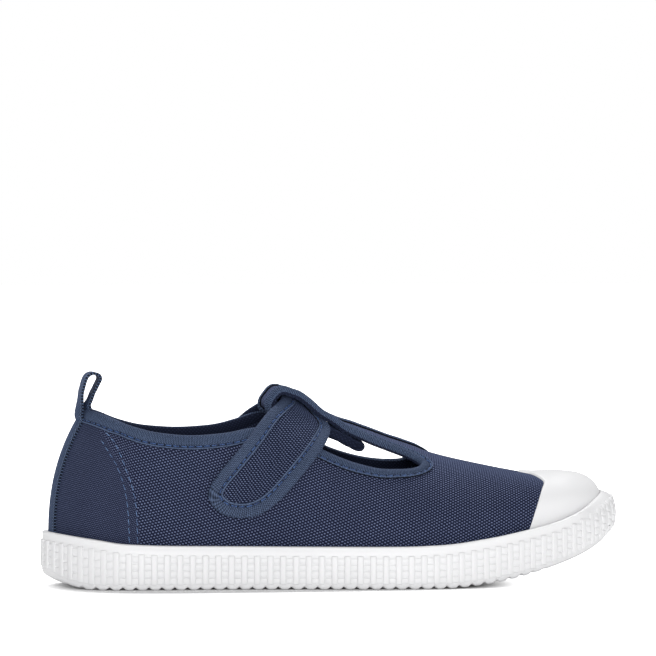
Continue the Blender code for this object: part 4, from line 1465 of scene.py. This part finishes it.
class Paint:
    """One material: its nodes, and the surface that they feed."""

    def __init__(self, name, roughness, **constants):
        self.material = bpy.data.materials.new(name)
        self.material.use_nodes = True
        self.tree = self.material.node_tree
        self.surface = self.tree.nodes["Principled BSDF"]
        for key, value in {"Roughness": roughness, **constants}.items():
            self.surface.inputs[key.replace("_", " ")].default_value = value

    def node(self, kind, settings, inputs, output=0):
        """Add a node: its settings first, then values or links for its sockets."""
        node = set_up(self.tree.nodes.new(kind), settings)
        for key, value in inputs.items() if isinstance(inputs, dict) else enumerate(inputs):
            if isinstance(value, Value):
                self.tree.links.new(value.socket, node.inputs[key])
            else:
                node.inputs[key].default_value = value
        return Value(self, node.outputs[output])

    def part(self, where, axis):
        """One of the three numbers of a place."""
        return self.node("ShaderNodeSeparateXYZ", {}, [where], axis)

    def woven(self):
        """Distance across and along the cloth, in millimetres, from its own map."""
        cloth = self.node("ShaderNodeUVMap", {"uv_map": "UVMap"}, {})
        return self.part(cloth, 0), self.part(cloth, 1), cloth

    def spot(self):
        """Place on the object, in metres."""
        return self.node("ShaderNodeTexCoord", {}, {}, output=3)

    def noise(self, where, scale, detail=2.0, roughness=0.5):
        return self.node("ShaderNodeTexNoise", {}, {"Vector": where, "Scale": scale,
                         "Detail": detail, "Roughness": roughness})

    def blend(self, factor, first, second):
        """Colour that goes from the first to the second."""
        first, second = ((*c, 1.0) if isinstance(c, tuple) else c for c in (first, second))
        return self.node("ShaderNodeMix", {"data_type": "RGBA"},
                         {0: factor, 6: first, 7: second}, output=2)

    def feed(self, **inputs):
        for key, value in inputs.items():
            self.tree.links.new(value.socket, self.surface.inputs[key.replace("_", " ")])

    def bump(self, height, distance):
        self.feed(Normal=self.node("ShaderNodeBump", {}, {
            "Strength": 1.0, "Distance": distance * MM, "Height": height}))


def srgb(red, green, blue):
    """Linear colour from the 0 to 255 figures of a colour card."""
    return tuple((c / 255.0 / 12.92) if c <= 10 else ((c / 255.0 + 0.055) / 1.055) ** 2.4
                 for c in (red, green, blue))


WARP_PITCH = 0.92
WEFT_PITCH = 0.555

# Front seam of the heel counter, in metres: where it meets the foxing, the
# height at which it stands upright, and how fast it curves back from there.
SEAM_FOOT = -0.0712
SEAM_UPRIGHT_AT = 0.015
SEAM_SCALE = 25.0
SEAM_BEND = 0.0125
SEAM_BLEND = 0.0004
COUNTER_DOTS = 0.60
COUNTER_PALER = 0.04

COTTON_SHEEN = {"Sheen_Roughness": 0.45, "Sheen_Tint": (0.30, 0.40, 0.78, 1.0)}


def weave_of(across, along, wobble, warp, weft):
    """Waves of a plain weave, and the light dots where its warp comes up."""
    warps = (across + wobble).wave(2.0 * warp)
    waves = warps * (along + wobble).wave(2.0 * weft)
    return waves, (waves * warps.size()).ramp(-0.05, 0.7)


def canvas_paint(name, dark, light, warp=WARP_PITCH, weft=WEFT_PITCH, contrast=1.0, counter=False):
    """Plain weave: each warp thread shows as a light dot on the dark weft."""
    paint = Paint(name, 0.92, Sheen_Weight=0.20, Specular_IOR_Level=0.08, **COTTON_SHEEN)
    across, along, cloth = paint.woven()
    wobble = paint.noise(cloth, 0.35, 1.0) * 0.5
    waves, dots = weave_of(across, along, wobble, warp, weft)
    if counter:
        rise = (paint.part(paint.spot(), 2) - SEAM_UPRIGHT_AT) * SEAM_SCALE
        ahead = paint.part(paint.spot(), 0) - SEAM_FOOT + rise * rise * SEAM_BEND
        fine = weave_of(across, along, wobble, COUNTER_CLOSER * warp, COUNTER_CLOSER * weft)[1]
        fine = fine * COUNTER_DOTS + COUNTER_PALER
        dots = fine + (dots - fine) * ahead.ramp(-SEAM_BLEND, SEAM_BLEND)
    fuzz = paint.noise(cloth, 2.1, 2.0, 0.6)
    patch = paint.noise(paint.spot(), 60.0, 2.0)
    colour = paint.blend(dots * (0.25 + 1.3 * fuzz) * contrast, dark, light)
    paint.feed(Base_Color=paint.blend(patch * 0.35, colour, dark))
    paint.bump(waves * 0.5 + fuzz * 0.2, 0.16)
    return paint.material


def binding_paint(name, dark, light, pitch=0.8, slant=1.0, cross=0.5):
    """Close-woven tape: fine slanted ribs, a painted highlight along the ridge of its sewn border,
    painted shadow at that ridge's foot and painted shade in the sewn groove.
    """
    paint = Paint(name, 0.85, Sheen_Weight=0.12, Specular_IOR_Level=0.15, **COTTON_SHEEN)
    across, along, cloth = paint.woven()
    ribs = (along + across * slant).wave(pitch)
    picks = (along * cross - across).wave(pitch)
    fuzz = paint.noise(cloth, 1.3, 2.0, 0.65)
    patch = paint.noise(paint.spot(), 90.0, 2.0)
    weave = ribs * picks * 0.50 + ribs * 0.20 + 0.40
    body = paint.blend(weave * (0.1 + 1.8 * fuzz), dark, light)
    worn = paint.blend(patch * 0.3, body, dark)
    # Painted highlight: the tape is made lighter along the ridge by its sewn border.
    cord_highlight = (1.0 - (across - 0.42).size() * 2.6).most(0.0).least(1.0)
    cord_highlit = paint.blend(cord_highlight * (0.05 + 0.8 * fuzz), worn, light)
    # Painted shade: a dark line at the ridge's foot and a darker sewn groove, in a near-black copy
    # of the tape's dark colour.
    foot = 1.0 - across.ramp(0.06, 0.22)
    groove = 1.0 - (across - STITCH_DEPTH).size().ramp(0.15, 0.5)
    painted_shade_dark = tuple(c * 0.22 for c in dark)
    paint.feed(Base_Color=paint.blend(foot.most(groove * 0.75), cord_highlit, painted_shade_dark))
    paint.bump(ribs * 0.3 + picks * 0.2 + fuzz * 0.6, 0.10)
    return paint.material


def webbing_paint(name):
    """Herringbone pull tape with dotted woven edges."""
    paint = Paint(name, 0.75, Sheen_Weight=0.1, Specular_IOR_Level=0.2, **COTTON_SHEEN)
    across, along, cloth = paint.woven()
    from_middle = (across - 0.5 * TAPE_WIDTH).size()
    edge = from_middle.above(0.5 * TAPE_WIDTH - 1.1)
    picks = (along + from_middle * 0.6).wave(0.8)
    dots = along.wave(1.1) * from_middle.wave(0.9)
    fuzz = paint.noise(cloth, 2.5, 2.0, 0.6)
    body = paint.blend((picks * 0.3 + 0.5) * (0.7 + 0.6 * fuzz),
                       srgb(12, 20, 38), srgb(68, 88, 122))
    border = paint.blend(dots.ramp(0.0, 0.7), srgb(12, 18, 34), srgb(112, 136, 174))
    paint.feed(Base_Color=paint.blend(edge, body, border))
    paint.bump(picks * 0.5 + fuzz * 0.3, 0.14)
    return paint.material


def rubber_paint(name, colour, roughness):
    """White moulded rubber: faint mottling and a fine grain."""
    paint = Paint(name, roughness, Specular_IOR_Level=0.5)
    where = paint.spot()
    mottle = paint.noise(where, 45.0, 3.0)
    grain = paint.noise(where, 1400.0, 2.0)
    dull = tuple(c * 0.93 for c in colour)
    paint.feed(Base_Color=paint.blend(mottle * 0.7, colour, dull))
    paint.feed(Roughness=mottle * 0.16 + (roughness - 0.06))
    paint.bump(grain * 0.5 + mottle * 0.5, 0.05)
    return paint.material


def thread_paint(name, dark, light):
    """Twisted sewing thread."""
    paint = Paint(name, 0.6, Sheen_Weight=0.1, Specular_IOR_Level=0.4)
    where = paint.spot()
    twist = paint.noise(where, 1600.0, 1.0)
    shade = paint.noise(where, 110.0, 2.0)
    paint.feed(Base_Color=paint.blend(twist.ramp(0.35, 0.65) * (0.5 + shade), dark, light))
    paint.bump(twist, 0.08)
    return paint.material


# ---- stage ----

SKY = 0.41
CAMERA = {"sensor_width": 36.0, "lens": 306.0, "clip_start": 0.1, "clip_end": 50.0}
CAMERA_DISTANCE = 2.0
CAMERA_TURN = math.radians(-9.5)
CAMERA_HEIGHT = 0.142
AIM_HEIGHT = 0.0915

# The floor glows outside a ring, and to the camera right up to the shade
# round the shoe (metres).
GLOW_RING = (0.17, 0.55)
SHADE_MIDDLE = -0.020
SHADE_LONG = 0.076
SHADE_WIDE = 0.042

# Lamps: where each stands, how wide and how deep it is (metres), and its power (watts).
LAMPS = (("overhead", (0.1, 1.35, 2.6), (1.6, 0.5), 58.0),
         ("front", (-0.30, -4.0, 0.30), (2.0, 2.0), 124.0))
LAMP_AIM = (0.0, 0.0, 0.03)


def build_floor():
    """Pale floor that glows white away from the shoe, but not under it."""
    alone()
    bpy.ops.mesh.primitive_plane_add(size=12.0, location=(0.0, 0.0, -0.0001))
    floor = bpy.context.object
    floor.name = "floor"
    paint = Paint("pale_floor", 0.9, Specular_IOR_Level=0.1, Base_Color=(0.97, 0.97, 0.97, 1.0),
                  Emission_Strength=1.0)
    away = paint.node("ShaderNodeVectorMath", {"operation": "LENGTH"}, [paint.spot()], output=1)
    along = (paint.part(paint.spot(), 0) - SHADE_MIDDLE) * (1.0 / SHADE_LONG)
    side = paint.part(paint.spot(), 1) * (1.0 / SHADE_WIDE)
    seen = paint.node("ShaderNodeLightPath", {}, [])
    glow = (along ** 4.0 + side ** 4.0).ramp(0.7, 1.9) * seen
    glow = away.ramp(*GLOW_RING).most(glow)
    paint.feed(Emission_Color=paint.blend(glow, (0.0, 0.0, 0.0), (1.0, 1.0, 1.0)))
    floor.data.materials.append(paint.material)


def build_sky():
    """Even white light from all round, and a white ground behind the shoe."""
    world = bpy.data.worlds.new("studio")
    world.use_nodes = True
    nodes, link = world.node_tree.nodes, world.node_tree.links.new
    dim, bright = nodes["Background"], nodes.new("ShaderNodeBackground")
    for light, strength in ((dim, SKY), (bright, 1.0)):
        light.inputs["Color"].default_value = (1.0, 1.0, 1.0, 1.0)
        light.inputs["Strength"].default_value = strength
    either = nodes.new("ShaderNodeMixShader")
    seen = nodes.new("ShaderNodeLightPath")
    for k, socket in enumerate((seen.outputs["Is Camera Ray"], dim.outputs[0], bright.outputs[0])):
        link(socket, either.inputs[k])
    link(either.outputs[0], nodes["World Output"].inputs["Surface"])
    bpy.context.scene.world = world
    bpy.context.scene.view_settings.view_transform = "Standard"


def stand(name, data, spot, aim):
    """Put a lamp or the camera at a place, turned to look at another."""
    holder = bpy.data.objects.new(name, data)
    bpy.context.scene.collection.objects.link(holder)
    holder.location = spot
    holder.rotation_euler = (Vector(aim) - Vector(spot)).to_track_quat("-Z", "Y").to_euler()
    return holder


def build_stage():
    """Plain pale floor, soft light from above and in front, and the camera."""
    build_floor()
    build_sky()
    for name, spot, (wide, deep), energy in LAMPS:
        light = {"shape": "RECTANGLE", "size": wide, "size_y": deep, "energy": energy}
        stand(name, set_up(bpy.data.lights.new(name, "AREA"), light), spot, LAMP_AIM)
    camera = set_up(bpy.data.cameras.new("camera"), CAMERA)
    back = math.sqrt(CAMERA_DISTANCE ** 2 - (CAMERA_HEIGHT - AIM_HEIGHT) ** 2)
    spot = (math.sin(CAMERA_TURN) * back, -math.cos(CAMERA_TURN) * back, CAMERA_HEIGHT)
    bpy.context.scene.camera = stand("camera", camera, spot, (0.0, 0.0, AIM_HEIGHT))


def main():
    canvas = canvas_paint("navy_canvas", srgb(23, 28, 48), srgb(117, 128, 162), counter=True)
    strap_canvas = canvas_paint("strap_canvas", srgb(17, 23, 42), srgb(116, 128, 162), 0.8, 0.5)
    lining = canvas_paint("navy_lining", srgb(36, 43, 64), srgb(98, 110, 142), 0.7, 0.7, 0.7)
    twill = binding_paint("twill_binding", srgb(4, 8, 20), srgb(98, 116, 150), 0.9)
    ribbed = binding_paint("ribbed_binding", srgb(6, 12, 26), srgb(100, 117, 150), 0.95, 0.8, 0.6)
    # A darker copy of the cloth, with painted shade, for the bindings' inner halves and the flap.
    painted_shade = canvas_paint("painted_shade_cloth", srgb(24, 29, 46), srgb(58, 68, 94), 0.7, 0.7, 0.5)
    webbing = webbing_paint("pull_tape")
    white_rubber = rubber_paint("white_rubber", (0.80, 0.80, 0.81), 0.42)
    cap_rubber = rubber_paint("cap_rubber", (0.81, 0.81, 0.82), 0.55)
    pale_thread = thread_paint("pale_thread", srgb(46, 68, 110), srgb(104, 134, 178))
    blue_thread = thread_paint("blue_thread", srgb(26, 46, 88), srgb(62, 94, 148))

    made = (
        ("upper", "navy_canvas", [build_shell(canvas, lining, painted_shade),
                                  *build_bindings(twill, painted_shade, blue_thread)]),
        ("strap", "strap_canvas", build_strap(strap_canvas, ribbed, painted_shade, blue_thread)),
        ("heel_tape", "steel_blue_tape", [build_heel_tape(webbing)]),
        ("toe_cap", "cap_rubber", [build_toe_cap(cap_rubber)]),
        ("outsole", "white_rubber", [build_sole(white_rubber), *build_wall_pattern(white_rubber)]),
        ("insole", "navy_lining", [build_sock(lining)]),
        ("upper", "navy_canvas", [build_counter_stitches(pale_thread)]),
    )
    for node, slot, pieces in made:
        for piece in pieces:
            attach(piece, "root")
            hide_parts(node)
    build_stage()


main()
